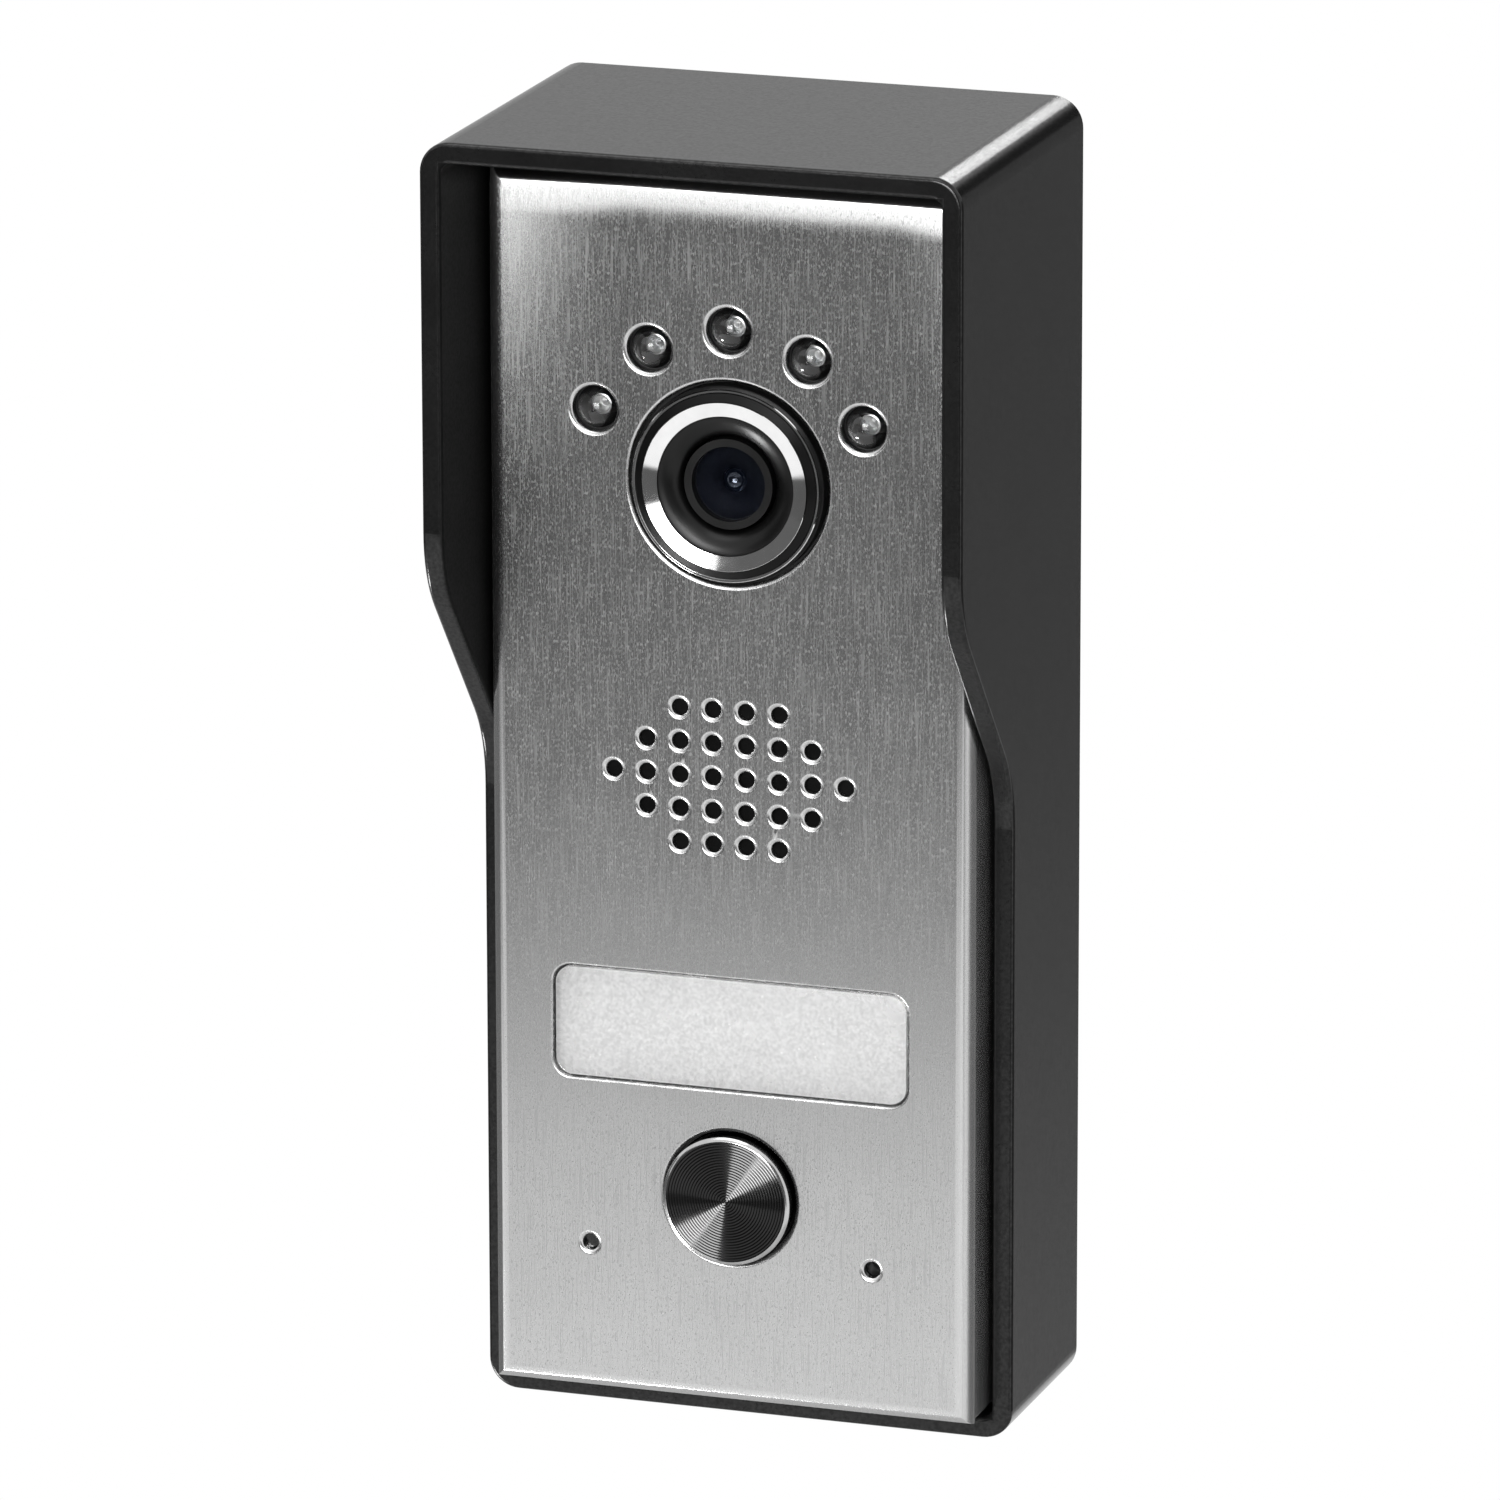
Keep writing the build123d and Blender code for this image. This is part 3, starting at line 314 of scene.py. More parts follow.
# %% Helpers for finishes
def start_finish(name, metal=0.0, clear=0.0, bend=1.5):
    finish = bpy.data.materials.new(name)
    finish.use_nodes = True
    shader = finish.node_tree.nodes["Principled BSDF"]
    shader.inputs["Metallic"].default_value = metal
    shader.inputs["Transmission Weight"].default_value = clear
    shader.inputs["IOR"].default_value = bend
    return finish


def shader_of(finish):
    return finish.node_tree.nodes["Principled BSDF"]


def add(finish, kind, **inputs):
    node = finish.node_tree.nodes.new(kind)
    for name, value in inputs.items():
        node.inputs[name].default_value = value
    return node


def link(finish, source, target):
    finish.node_tree.links.new(source, target)


def noise(finish, grain, stretch=(1, 1, 1), detail=3.0):
    """Noise whose blotches are about as wide as grain, in millimetres."""
    place = add(finish, "ShaderNodeMapping", Scale=stretch)
    link(finish, add(finish, "ShaderNodeTexCoord").outputs["Object"], place.inputs["Vector"])
    pattern = add(finish, "ShaderNodeTexNoise", Scale=1 / (grain * MM), Detail=detail)
    link(finish, place.outputs[0], pattern.inputs["Vector"])
    return pattern.outputs["Fac"]


def spread(finish, source, low, high, start=0.3, end=0.7):
    """Noise mostly lies between start and end; this leads it to low and high."""
    ramp = add(finish, "ShaderNodeMapRange")
    for name, value in zip(("From Min", "From Max", "To Min", "To Max"), (start, end, low, high)):
        ramp.inputs[name].default_value = value
    link(finish, source, ramp.inputs["Value"])
    return ramp.outputs["Result"]


def tint(finish, source, dark, light):
    """Colour between dark and light along a factor, led to the base colour."""
    mix = finish.node_tree.nodes.new("ShaderNodeMix")
    mix.data_type = "RGBA"
    mix.inputs["A"].default_value = (*dark, 1)
    mix.inputs["B"].default_value = (*light, 1)
    link(finish, source, mix.inputs["Factor"])
    link(finish, mix.outputs["Result"], shader_of(finish).inputs["Base Color"])


def gloss(finish, source, low, high):
    link(finish, spread(finish, source, low, high), shader_of(finish).inputs["Roughness"])


def relief(finish, source, depth, strength=1.0):
    """Bump of this depth in millimetres, on top of any relief the finish already has."""
    normal = shader_of(finish).inputs["Normal"]
    bump = add(finish, "ShaderNodeBump", Strength=strength, Distance=depth * MM)
    link(finish, source, bump.inputs["Height"])
    if normal.is_linked:
        link(finish, normal.links[0].from_socket, bump.inputs["Normal"])
    link(finish, bump.outputs["Normal"], normal)


def arithmetic(finish, operation, first, second):
    """One sum or product; each side is a socket or a plain number."""
    step = add(finish, "ShaderNodeMath")
    step.operation = operation
    for side, value in enumerate((first, second)):
        if isinstance(value, float):
            step.inputs[side].default_value = value
        else:
            link(finish, value, step.inputs[side])
    return step.outputs[0]


def place_on(finish):
    """Where a point lies on the object: separate X, Y and Z, in metres."""
    split = add(finish, "ShaderNodeSeparateXYZ")
    link(finish, add(finish, "ShaderNodeTexCoord").outputs["Object"], split.inputs[0])
    return split.outputs


def grey(value):
    return (value, value, value)


print("helpers for finishes ready")

# %% [markdown]
# ## Hood plastic
# The hood is moulded in black plastic with a fine spark-eroded texture, so it is satin and not
# glossy. Its colour is nearly even; light glancing off the grain is what turns the top grey. The
# inner side of the mould is left dull, and the inner walls mirror far less than the outer skin,
# which is painted shade that keeps the hollow black. Two finishes on two sets of faces would meet
# in a hard line, so one finish tells the outer skin from the inner walls by how far a point lies
# from the middle.

# %% Hood finish
HOOD_WALL = 2.5
SKIN_START = 0.1
SKIN_END = 0.3
HOOD_SATIN = (0.165, 0.185)
HOOD_SHINE = (0.36, 0.66)
INSIDE_DULL = 0.4
INSIDE_SHADE_BEND = 1.12
OUTSIDE_BEND = 1.43

hood_black = start_finish("hood_black")
hood_shader = shader_of(hood_black)
hood_grain = noise(hood_black, 0.3, detail=2.0)
hood_clouds = noise(hood_black, 9.0)
tint(hood_black, spread(hood_black, hood_clouds, 0.0, 1.0), grey(0.006), grey(0.009))
relief(hood_black, hood_grain, 0.015, 0.4)
shine = spread(hood_black, noise(hood_black, 0.4, detail=1.0), *HOOD_SHINE)
link(hood_black, shine, hood_shader.inputs["Specular IOR Level"])
hood_place = place_on(hood_black)
hood_side = arithmetic(hood_black, "ABSOLUTE", hood_place["X"], 0.0)
hood_level = arithmetic(hood_black, "ABSOLUTE", hood_place["Z"], 0.0)
hood_level = arithmetic(hood_black, "SUBTRACT", hood_level, cad_high.z - cad_high.x)
hood_reach = arithmetic(hood_black, "MAXIMUM", hood_side, hood_level)
hood_back = arithmetic(hood_black, "ADD", hood_place["Y"], cad_high.x)
hood_reach = arithmetic(hood_black, "MAXIMUM", hood_reach, hood_back)
hood_skin = cad_high.x - HOOD_WALL * MM
outside = spread(hood_black, hood_reach, 0.0, 1.0, hood_skin + SKIN_START * MM, hood_skin + SKIN_END * MM)
inside_dull = spread(hood_black, outside, INSIDE_DULL, 0.0, 0.0, 1.0)
satin = spread(hood_black, hood_clouds, *HOOD_SATIN)
link(hood_black, arithmetic(hood_black, "ADD", satin, inside_dull), hood_shader.inputs["Roughness"])
# Inner walls get a far lower IOR than the skin: painted shade in the hollow.
hood_bend_and_inner_shade = spread(hood_black, outside, INSIDE_SHADE_BEND, OUTSIDE_BEND, 0.0, 1.0)
link(hood_black, hood_bend_and_inner_shade, hood_shader.inputs["IOR"])
print("hood finish made")

# %% [markdown]
# ## Brushed steel
# A belt drags short scratches down the sheet. They spread light sideways, so highlights smear
# across the grain: that is anisotropy, with its tangent level and square to the grain. Long
# faint streaks and short bright dashes break the surface up as in the photograph, and fade out on
# the bends. A thin sheet is never quite flat. Towards its top corners this one leans up a little,
# so they mirror the bright box. The shader leans its normals there, since a bend of hundredths
# of a millimetre is too small for the mesh.


# %% Steel finish
def level_tangent(finish):
    """Tangent that runs level round the panel, over its bends as well."""
    facing = add(finish, "ShaderNodeNewGeometry")
    across = finish.node_tree.nodes.new("ShaderNodeVectorMath")
    across.operation = "CROSS_PRODUCT"
    across.inputs[0].default_value = (0, 0, 1)
    link(finish, facing.outputs["Normal"], across.inputs[1])
    nudge = finish.node_tree.nodes.new("ShaderNodeVectorMath")
    nudge.operation = "ADD"
    nudge.inputs[1].default_value = (0.01, 0, 0)
    link(finish, across.outputs[0], nudge.inputs[0])
    return nudge.outputs[0]


STROKE_WIDTH = 0.13
LONG_STROKE = (1, 1, 0.02)
SHORT_STROKE = (1, 1, 0.3)
SIDE_FADE = (2.6, 1.2)
TOP_FADE = (2.4, 1.4)
STEEL_HAZE = (0.21, 0.24)
STROKE_DEPTH = 0.006
STEEL_ANISOTROPY = 0.9
LEAN_RADIUS = 0.8
LEAN_FOOT = 0.012
LEAN_MIDDLE = 0.004
LEAN_SIDES = (0.016, 0.030)

panel_low, panel_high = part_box("front_panel")
panel_steel = start_finish("panel_steel", metal=1.0)
steel_shader = shader_of(panel_steel)
place = place_on(panel_steel)
off_middle = arithmetic(panel_steel, "ABSOLUTE", place["X"], 0.0)
side_start, side_end = (panel_high.x - inset * MM for inset in SIDE_FADE)
top_start, top_end = (panel_high.z - inset * MM for inset in TOP_FADE)
flat_across = spread(panel_steel, off_middle, 1.0, 0.0, side_start, side_end)
flat_up = spread(panel_steel, place["Z"], 1.0, 0.0, top_start, top_end)
flat = arithmetic(panel_steel, "MULTIPLY", flat_across, flat_up)
long_strokes = noise(panel_steel, STROKE_WIDTH, LONG_STROKE, 1.0)
short_strokes = noise(panel_steel, STROKE_WIDTH, SHORT_STROKE, 1.0)
strokes = arithmetic(panel_steel, "ADD", long_strokes, short_strokes)
tint(panel_steel, spread(panel_steel, strokes, 0.0, 1.0, 0.7, 1.3), grey(0.62), grey(0.68))
long_specks = spread(panel_steel, long_strokes, 0.0, 0.18, 0.5, 0.85)
short_specks = spread(panel_steel, short_strokes, 0.0, 0.58, 0.56, 0.86)
haze = spread(panel_steel, noise(panel_steel, 14.0), *STEEL_HAZE)
specks = arithmetic(panel_steel, "ADD", long_specks, short_specks)
specks = arithmetic(panel_steel, "MULTIPLY", specks, flat)
link(panel_steel, arithmetic(panel_steel, "ADD", specks, haze), steel_shader.inputs["Roughness"])
shifted = arithmetic(panel_steel, "SUBTRACT", place["X"], LEAN_MIDDLE)
beside = arithmetic(panel_steel, "ABSOLUTE", shifted, 0.0)
beside = spread(panel_steel, beside, 0.0, 1.0 / LEAN_RADIUS, *LEAN_SIDES)
above = spread(panel_steel, place["Z"], 0.0, panel_high.z - LEAN_FOOT, LEAN_FOOT, panel_high.z)
lean = add(panel_steel, "ShaderNodeCombineXYZ")
link(panel_steel, arithmetic(panel_steel, "MULTIPLY", above, beside), lean.inputs["Z"])
leaning = panel_steel.node_tree.nodes.new("ShaderNodeVectorMath")
leaning.operation = "ADD"
link(panel_steel, add(panel_steel, "ShaderNodeNewGeometry").outputs["Normal"], leaning.inputs[0])
link(panel_steel, lean.outputs[0], leaning.inputs[1])
link(panel_steel, leaning.outputs[0], steel_shader.inputs["Normal"])
relief(panel_steel, arithmetic(panel_steel, "MULTIPLY", strokes, flat), STROKE_DEPTH, 0.3)
steel_shader.inputs["Anisotropic"].default_value = STEEL_ANISOTROPY
link(panel_steel, level_tangent(panel_steel), steel_shader.inputs["Tangent"])
edge_steel = start_finish("edge_steel", metal=1.0)
edge_haze = noise(edge_steel, 1.2)
tint(edge_steel, spread(edge_steel, edge_haze, 0.0, 1.0), grey(0.6), grey(0.72))
gloss(edge_steel, edge_haze, 0.2, 0.3)
print("steel finishes made")

# %% [markdown]
# ## Bright metal
# Chrome is almost a mirror; a trace of haze keeps it from looking computed. The button is turned
# on a lathe and blackened, and the screws are zinc plated, so both are duller. One recipe serves
# them all: haze leads both the colour and the gloss, and a finer noise gives a faint relief.


# %% Metal finishes
METAL_RELIEF = 0.002


def metal_finish(name, dark, light, low, high, grain=2.5):
    finish = start_finish(name, metal=1.0)
    haze = noise(finish, grain)
    tint(finish, spread(finish, haze, 0.0, 1.0), dark, light)
    gloss(finish, haze, low, high)
    relief(finish, noise(finish, grain / 6), METAL_RELIEF, 0.3)
    return finish


# Name, dark and light colour, least and most roughness, grain in millimetres.
chrome = metal_finish("chrome", grey(0.86), grey(0.93), 0.04, 0.09)
button_metal = metal_finish("button_metal", grey(0.036), grey(0.043), 0.1, 0.14, 6.0)
rim_metal = metal_finish("rim_metal", grey(0.5), grey(0.62), 0.12, 0.2)
screw_steel = metal_finish("screw_steel", (0.46, 0.47, 0.48), (0.62, 0.62, 0.61), 0.24, 0.4, 1.0)
brass = metal_finish("brass", (0.68, 0.48, 0.19), (0.82, 0.62, 0.3), 0.22, 0.36, 1.0)
copper = metal_finish("copper", (0.6, 0.26, 0.13), (0.78, 0.4, 0.24), 0.2, 0.34, 0.5)
print("metal finishes made")

# %% [markdown]
# ## Plastics, rubber and card
# The inner mouldings differ in shade, gloss and grain, so one recipe makes them all: a mottled
# colour, a gloss that wanders a little, and fine relief.


# %% Plastic finishes
def moulded_finish(name, dark, light, low, high, grain=0.3, depth=0.01, clouds=5.0, bend=1.5):
    """Colours, roughness from low to high, then grain, relief and mottling in millimetres."""
    finish = start_finish(name, bend=bend)
    mottle = noise(finish, clouds)
    tint(finish, spread(finish, mottle, 0.0, 1.0), dark, light)
    gloss(finish, mottle, low, high)
    relief(finish, noise(finish, grain), depth, 0.4)
    return finish


inner_glass = moulded_finish(
    "inner_glass", (0.002, 0.003, 0.006), (0.003, 0.004, 0.008), 0.03, 0.06, 1.0, 0.001, bend=1.7
)
inner_black = moulded_finish(
    "inner_black", (0.002, 0.0025, 0.004), (0.003, 0.0035, 0.006), 0.5, 0.6, bend=1.12
)
cone_black = moulded_finish("cone_black", grey(0.002), grey(0.003), 0.26, 0.32, 0.5, 0.002, bend=1.36)
bezel_black = moulded_finish("bezel_black", grey(0.003), grey(0.005), 0.3, 0.4, bend=1.25)
black_plastic = moulded_finish("black_plastic", grey(0.008), grey(0.013), 0.3, 0.4)
lens_black = moulded_finish("lens_black", grey(0.006), grey(0.009), 0.3, 0.38, bend=1.3)
card_paper = moulded_finish("card", grey(0.56), grey(0.84), 0.75, 0.9, 0.3, 0.02, 0.34)
rubber = moulded_finish("rubber", grey(0.014), grey(0.024), 0.6, 0.75, 0.2, 0.02)
board = moulded_finish("board", (0.01, 0.09, 0.035), (0.025, 0.16, 0.07), 0.3, 0.42, 0.6, 0.03)
magnet = moulded_finish("magnet", grey(0.05), grey(0.09), 0.55, 0.7, 0.2, 0.03)
# The speaker paper is black, made darker and less shiny still as painted shade in the holes in front of
# it.
paper = moulded_finish("paper", grey(0.003), grey(0.008), 0.8, 0.92, 0.3, 0.06, bend=1.15)
frosted = moulded_finish("frosted", grey(0.8), grey(0.88), 0.45, 0.6, 0.15, 0.01)
component = moulded_finish("component", grey(0.016), grey(0.026), 0.35, 0.5, 0.15, 0.01)
terminal = moulded_finish("terminal", (0.012, 0.13, 0.05), (0.03, 0.2, 0.09), 0.35, 0.45)
cream = moulded_finish("cream", (0.72, 0.67, 0.54), (0.82, 0.77, 0.65), 0.4, 0.52)
print("plastic finishes made")

# %% [markdown]
# ## Clear pieces
# Lens glass, lamp epoxy and the window sheet let light through. Their surfaces carry faint
# smears, which show only in the gloss. The front lens is coated and mirrors next to nothing, so
# it only tints the light, and the glint comes from the lens behind it.


# %% Clear finishes
def clear_finish(name, dark, light, low, high, bend):
    finish = start_finish(name, clear=1.0, bend=bend)
    smears = noise(finish, 3.0)
    tint(finish, spread(finish, smears, 0.0, 1.0), dark, light)
    gloss(finish, smears, low, high)
    relief(finish, noise(finish, 0.8), 0.001, 0.2)
    return finish


lens_glass = clear_finish("lens_glass", (0.72, 0.76, 0.84), (0.78, 0.82, 0.9), 0.0, 0.02, 1.0)
lamp_clear = clear_finish("lamp_clear", grey(0.56), grey(0.64), 0.0, 0.03, 1.54)
window_clear = clear_finish("window_clear", grey(0.95), grey(0.98), 0.2, 0.28, 1.49)
print("clear finishes made")

# %% [markdown]
# ## A finish for every solid
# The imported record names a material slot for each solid, and each slot gets its finish here. The
# renderer treats the shadow of a clear piece as solid, so clear pieces throw none. Then the lamps
# can light what lies behind them.

# %% Hand the finishes to the solids
LAMP_NAMES = ["ir_led_1", "ir_led_2", "ir_led_3", "ir_led_4", "ir_led_5"]

finishes = {
    "hood_black": hood_black, "panel_steel": panel_steel, "chrome": chrome,
    "black_plastic": black_plastic, "lens_black": lens_black, "lens_glass": lens_glass,
    "lamp_clear": lamp_clear, "window_clear": window_clear, "card": card_paper,
    "button_metal": button_metal, "rubber": rubber, "board": board,
    "screw_steel": screw_steel, "brass": brass, "magnet": magnet, "paper": paper,
    "copper": copper, "frosted": frosted, "component": component, "terminal": terminal,
    "cream": cream,
}


def dress(piece, slot):
    piece.data.materials.clear()
    piece.data.materials.append(finishes[slot])


def let_light_in(piece):
    """Lamps light what lies behind a clear piece, as they would through clear glass."""
    piece.visible_shadow = False
    piece.visible_diffuse = False


for row in frame["record"]["subparts"]:
    dress(nodes[row["node"]], row["material_slot"])
nodes["camera_bezel"].data.materials[0] = bezel_black
for name in ("lens_glass", *LAMP_NAMES):
    let_light_in(nodes[name])

# %% [markdown]
# ## Tools for modelling
# Most of the small pieces are round. On a lathe they would be cut from bar, and here they are
# drawn the same way: one vertex is extruded along half of the outline, and the outline is spun
# round the piece's own axis, which mostly points out of the wall. Square pieces start from a
# block, and pieces that follow a solid start from a merged copy of it.


# %% Tools for modelling
def spin_outline(name, points, centre, axis, steps):
    """Spins an outline, in metres, once round an axis and closes the seam."""
    draw_outline(points)
    bpy.ops.mesh.select_all(action="SELECT")
    bpy.ops.mesh.spin(steps=steps, angle=2 * math.pi, center=centre, axis=axis)
    bpy.ops.mesh.select_all(action="SELECT")
    bpy.ops.mesh.remove_doubles(threshold=MERGE)
    bpy.ops.mesh.normals_make_consistent(inside=False)
    bpy.ops.object.mode_set(mode="OBJECT")
    piece = bpy.context.object
    piece.name = name
    piece.data.name = name
    return piece


def turn_round(name, outline, x, z, steps, smooth=40.0):
    """Turns (radius, depth) pairs, in millimetres, about the axis at x, z."""
    points = [Vector((x + radius * MM, -depth * MM, z)) for radius, depth in outline]
    piece = spin_outline(name, points, (x, 0, z), (0, 1, 0), steps)
    bpy.ops.object.shade_smooth_by_angle(angle=math.radians(smooth))
    return piece


def block(name, middle, size, rounding=0.0):
    """A block of this size, in metres, with its edges rounded by so many millimetres."""
    bpy.ops.object.select_all(action="DESELECT")
    bpy.ops.mesh.primitive_cube_add(size=1, location=middle)
    piece = bpy.context.object
    piece.name = name
    piece.data.name = name
    piece.scale = size
    bpy.ops.object.transform_apply(location=True, rotation=True, scale=True)
    if rounding:
        bpy.ops.object.mode_set(mode="EDIT")
        bpy.ops.mesh.select_all(action="SELECT")
        bpy.ops.mesh.bevel(offset=rounding * MM, segments=2)
        bpy.ops.object.mode_set(mode="OBJECT")
    return piece


def centre_of(node):
    low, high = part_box(node)
    return (low + high) / 2


def activate(piece):
    bpy.ops.object.select_all(action="DESELECT")
    piece.select_set(True)
    bpy.context.view_layer.objects.active = piece


def duplicate(piece, name):
    """A copy with its own mesh, left active."""
    activate(piece)
    bpy.ops.object.duplicate()
    copy = bpy.context.object
    copy.name = name
    copy.data.name = name
    return copy


def shifted_copy(piece, name, shift):
    """A copy moved by shift in the mesh itself."""
    copy = duplicate(piece, name)
    bpy.ops.transform.translate(value=shift)
    bpy.ops.object.transform_apply(location=True, rotation=True, scale=True)
    return copy


def merged_copy(node, name):
    """A copy of a solid with its doubled corners merged, left in edit mode."""
    copy = duplicate(nodes[node], name)
    bpy.ops.mesh.customdata_custom_splitnormals_clear()
    bpy.ops.object.mode_set(mode="EDIT")
    bpy.ops.mesh.select_all(action="SELECT")
    bpy.ops.mesh.remove_doubles(threshold=MERGE)
    return copy


def join(first, *others):
    bpy.ops.object.select_all(action="DESELECT")
    for piece in (first, *others):
        piece.select_set(True)
    bpy.context.view_layer.objects.active = first
    bpy.ops.object.join()
    return first


def settle(piece, body, slot, *nodes_replaced):
    """Gives a finished piece its finish and its body, and hides the solids it stands for."""
    dress(piece, slot)
    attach(piece, body)
    if nodes_replaced:
        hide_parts(*nodes_replaced)


print("tools for modelling ready")

# %% [markdown]
# ## Push button
# The button is faced on a lathe with a pointed tool, which leaves fine rings from the rim to the
# middle, and then blackened. Its bright rim is cut last. Light catches the rings in two opposite
# wedges. A bump map could fake them, but real rings keep the wedges right from every side, so
# each ring is part of the outline.

# %% Push button
BUTTON_STEPS = 128
BUTTON_RADIUS = 7.7
BUTTON_BEVEL = 0.32
BUTTON_RINGS = 22
RING_PITCH = 0.33
RING_DEPTH = 0.05
RING_PROFILE = ((0, 0), (0.43, 1), (0.57, 1))
RING_SMOOTH = 15.0
RIM_LIP = 0.04
RIM_FOOT = 0.06
RIM_GAP = 0.01
STEM_RADIUS = 2.0
SKIRT_RADIUS = 6.2
SKIRT_BACK = 25.75
HOLLOW_FLOOR = 27.0
FLANGE_RADIUS = 8.6
FLANGE_FRONT = 26.95

button_low, button_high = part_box("button_cap")
button_centre = (button_low + button_high) / 2
button_front = -button_low.y / MM
button_back = -button_high.y / MM
ring_edge = BUTTON_RINGS * RING_PITCH
bevel_back = button_front - BUTTON_BEVEL
quarter = BUTTON_BEVEL / 4
rim_outline = [
    (BUTTON_RADIUS, bevel_back), (BUTTON_RADIUS - quarter, button_front - 3 * quarter),
    (BUTTON_RADIUS - 3 * quarter, button_front - quarter), (ring_edge, button_front),
    (ring_edge, button_front - RIM_LIP), (BUTTON_RADIUS - RIM_FOOT, bevel_back),
    (BUTTON_RADIUS, bevel_back),
]
rim = turn_round("button_rim", rim_outline, button_centre.x, button_centre.z, BUTTON_STEPS)
settle(rim, "button", "chrome")
rim.data.materials[0] = rim_metal
cap_outline = [
    (0, button_back), (STEM_RADIUS, button_back), (STEM_RADIUS, HOLLOW_FLOOR),
    (SKIRT_RADIUS, HOLLOW_FLOOR), (SKIRT_RADIUS, SKIRT_BACK), (FLANGE_RADIUS, SKIRT_BACK),
    (FLANGE_RADIUS, FLANGE_FRONT), (BUTTON_RADIUS, FLANGE_FRONT),
    (BUTTON_RADIUS, bevel_back - RIM_GAP), (BUTTON_RADIUS - RIM_FOOT - RIM_GAP, bevel_back - RIM_GAP),
    (ring_edge - RIM_GAP, button_front - RIM_LIP - RIM_GAP),
]
for ring in range(BUTTON_RINGS):
    crest = RING_PITCH * (BUTTON_RINGS - ring)
    for share, sink in RING_PROFILE:
        cap_outline.append((crest - share * RING_PITCH, button_front - sink * RING_DEPTH))
cap_outline.append((0, button_front))
button = turn_round(
    "push_button", cap_outline, button_centre.x, button_centre.z, BUTTON_STEPS, RING_SMOOTH
)
settle(button, "button", "button_metal", "button_cap")
print("push button", len(button.data.polygons) + len(rim.data.polygons), "faces")

# %% [markdown]
# ## Inside the infrared lamps
# A clear lamp shows its works: a small cup on a post that holds the die, a second post beside it
# and a dark base. The rounded tip magnifies them. They are modelled once and copied into the five
# lamps.

# %% Lamp works
LAMP_STEPS = 40
CUP_OUTLINE = [
    (0, 24.6), (0.3, 24.6), (0.3, 27.6), (0.66, 28.5), (0.7, 29.5), (0.6, 29.55), (0.3, 29.0), (0, 29.0),
]
BASE_OUTLINE = [(0, 24.1), (2.44, 24.1), (2.44, 29.4), (2.38, 29.4), (2.38, 24.5), (0, 24.5)]
DIE_SIZE = Vector((0.28, 0.28, 0.28))
DIE_PLACE = Vector((0, -29.1, 0))
DIE_ROUND = 0.03
POST_SIZE = Vector((0.4, 4.24, 0.56))
POST_PLACE = Vector((1.25, -26.9, 0))
POST_ROUND = 0.08

first_lamp = centre_of(LAMP_NAMES[0])
lamp_axis = Vector((first_lamp.x, 0, first_lamp.z))
cup = turn_round("lamp_cup", CUP_OUTLINE, first_lamp.x, first_lamp.z, LAMP_STEPS)
die = block("lamp_die", lamp_axis + DIE_PLACE * MM, DIE_SIZE * MM, DIE_ROUND)
post = block("lamp_post", lamp_axis + POST_PLACE * MM, POST_SIZE * MM, POST_ROUND)
base = turn_round("lamp_base_1", BASE_OUTLINE, first_lamp.x, first_lamp.z, LAMP_STEPS)
works = join(cup, die, post)
works.name = "lamp_works_1"
for number, lamp_name in enumerate(LAMP_NAMES[1:], start=2):
    step = centre_of(lamp_name) - first_lamp
    settle(shifted_copy(works, f"lamp_works_{number}", step), "station", "screw_steel")
    settle(shifted_copy(base, f"lamp_base_{number}", step), "station", "component")
settle(works, "station", "screw_steel")
settle(base, "station", "component")
print("lamp works", len(works.data.polygons), "faces each")

# %% [markdown]
# ## Inside the camera lens
# Behind the front glass the barrel holds a black stop ring and a second, smaller lens with a
# hollow face. They give the lens its depth and its small glint, and keep the inside dark. A spot
# of white could be painted on instead, but a hollow face moves its glint with the viewer.

# %% Lens works
STOP_STEPS = 72
STOP_OUTLINE = [
    (1.7, 28.2), (2.95, 28.2), (2.95, 30.605), (4.3, 30.605), (4.3, 30.63), (2.6, 30.63),
    (1.55, 29.8), (1.45, 29.7), (1.45, 29.5), (1.7, 28.2),
]
BOWL_BACK = [(0, 28.3), (1.44, 28.3)]
BOWL_RADIUS = 1.7
BOWL_CENTRE = 30.35
BOWL_LEAN = math.radians(55)
BOWL_STEPS = 8
LENS_STEPS = 48

lens_centre = centre_of("lens_glass")
stop = turn_round("lens_stop", STOP_OUTLINE, lens_centre.x, lens_centre.z, STOP_STEPS)
settle(stop, "station", "lens_black")
stop.data.materials[0] = inner_black
bowl_outline = list(BOWL_BACK)
for step in range(BOWL_STEPS + 1):
    tilt = BOWL_LEAN * (1 - step / BOWL_STEPS)
    bowl_outline.append((BOWL_RADIUS * math.sin(tilt), BOWL_CENTRE - BOWL_RADIUS * math.cos(tilt)))
second_lens = turn_round("second_lens", bowl_outline, lens_centre.x, lens_centre.z, LENS_STEPS)
settle(second_lens, "station", "lens_glass")
second_lens.data.materials[0] = inner_glass
print("lens works", len(stop.data.polygons) + len(second_lens.data.polygons), "faces")

# %% [markdown]
# ## Camera dish
# The black dish round the lens is moulded with a polished, gently curved face. The solid has a
# straight cone. Turning a curved outline instead lets its upper right side catch the light from
# below, while the rest stays black.

# %% Camera dish
DISH_STEPS = 96
DISH_OUTLINE = [
    (5.6, 26.1), (8.13, 26.1), (8.13, 33.08), (7.85, 33.08), (7.2, 32.82), (6.6, 32.52),
    (6.05, 32.1), (5.7, 31.6), (5.6, 31.2), (5.6, 26.1),
]

dish = turn_round("camera_dish", DISH_OUTLINE, lens_centre.x, lens_centre.z, DISH_STEPS)
settle(dish, "station", "black_plastic", "camera_cone")
dish.data.materials[0] = cone_black
print("camera dish", len(dish.data.polygons), "faces")

# %% [markdown]
# ## Name card
# The card behind the clear window is cut from stiff white stock. A bare sheet would do from the
# front, but a block with soft edges also looks right from the side. It lies a hair behind the
# window, so its face catches light and the window's edges stay visible.

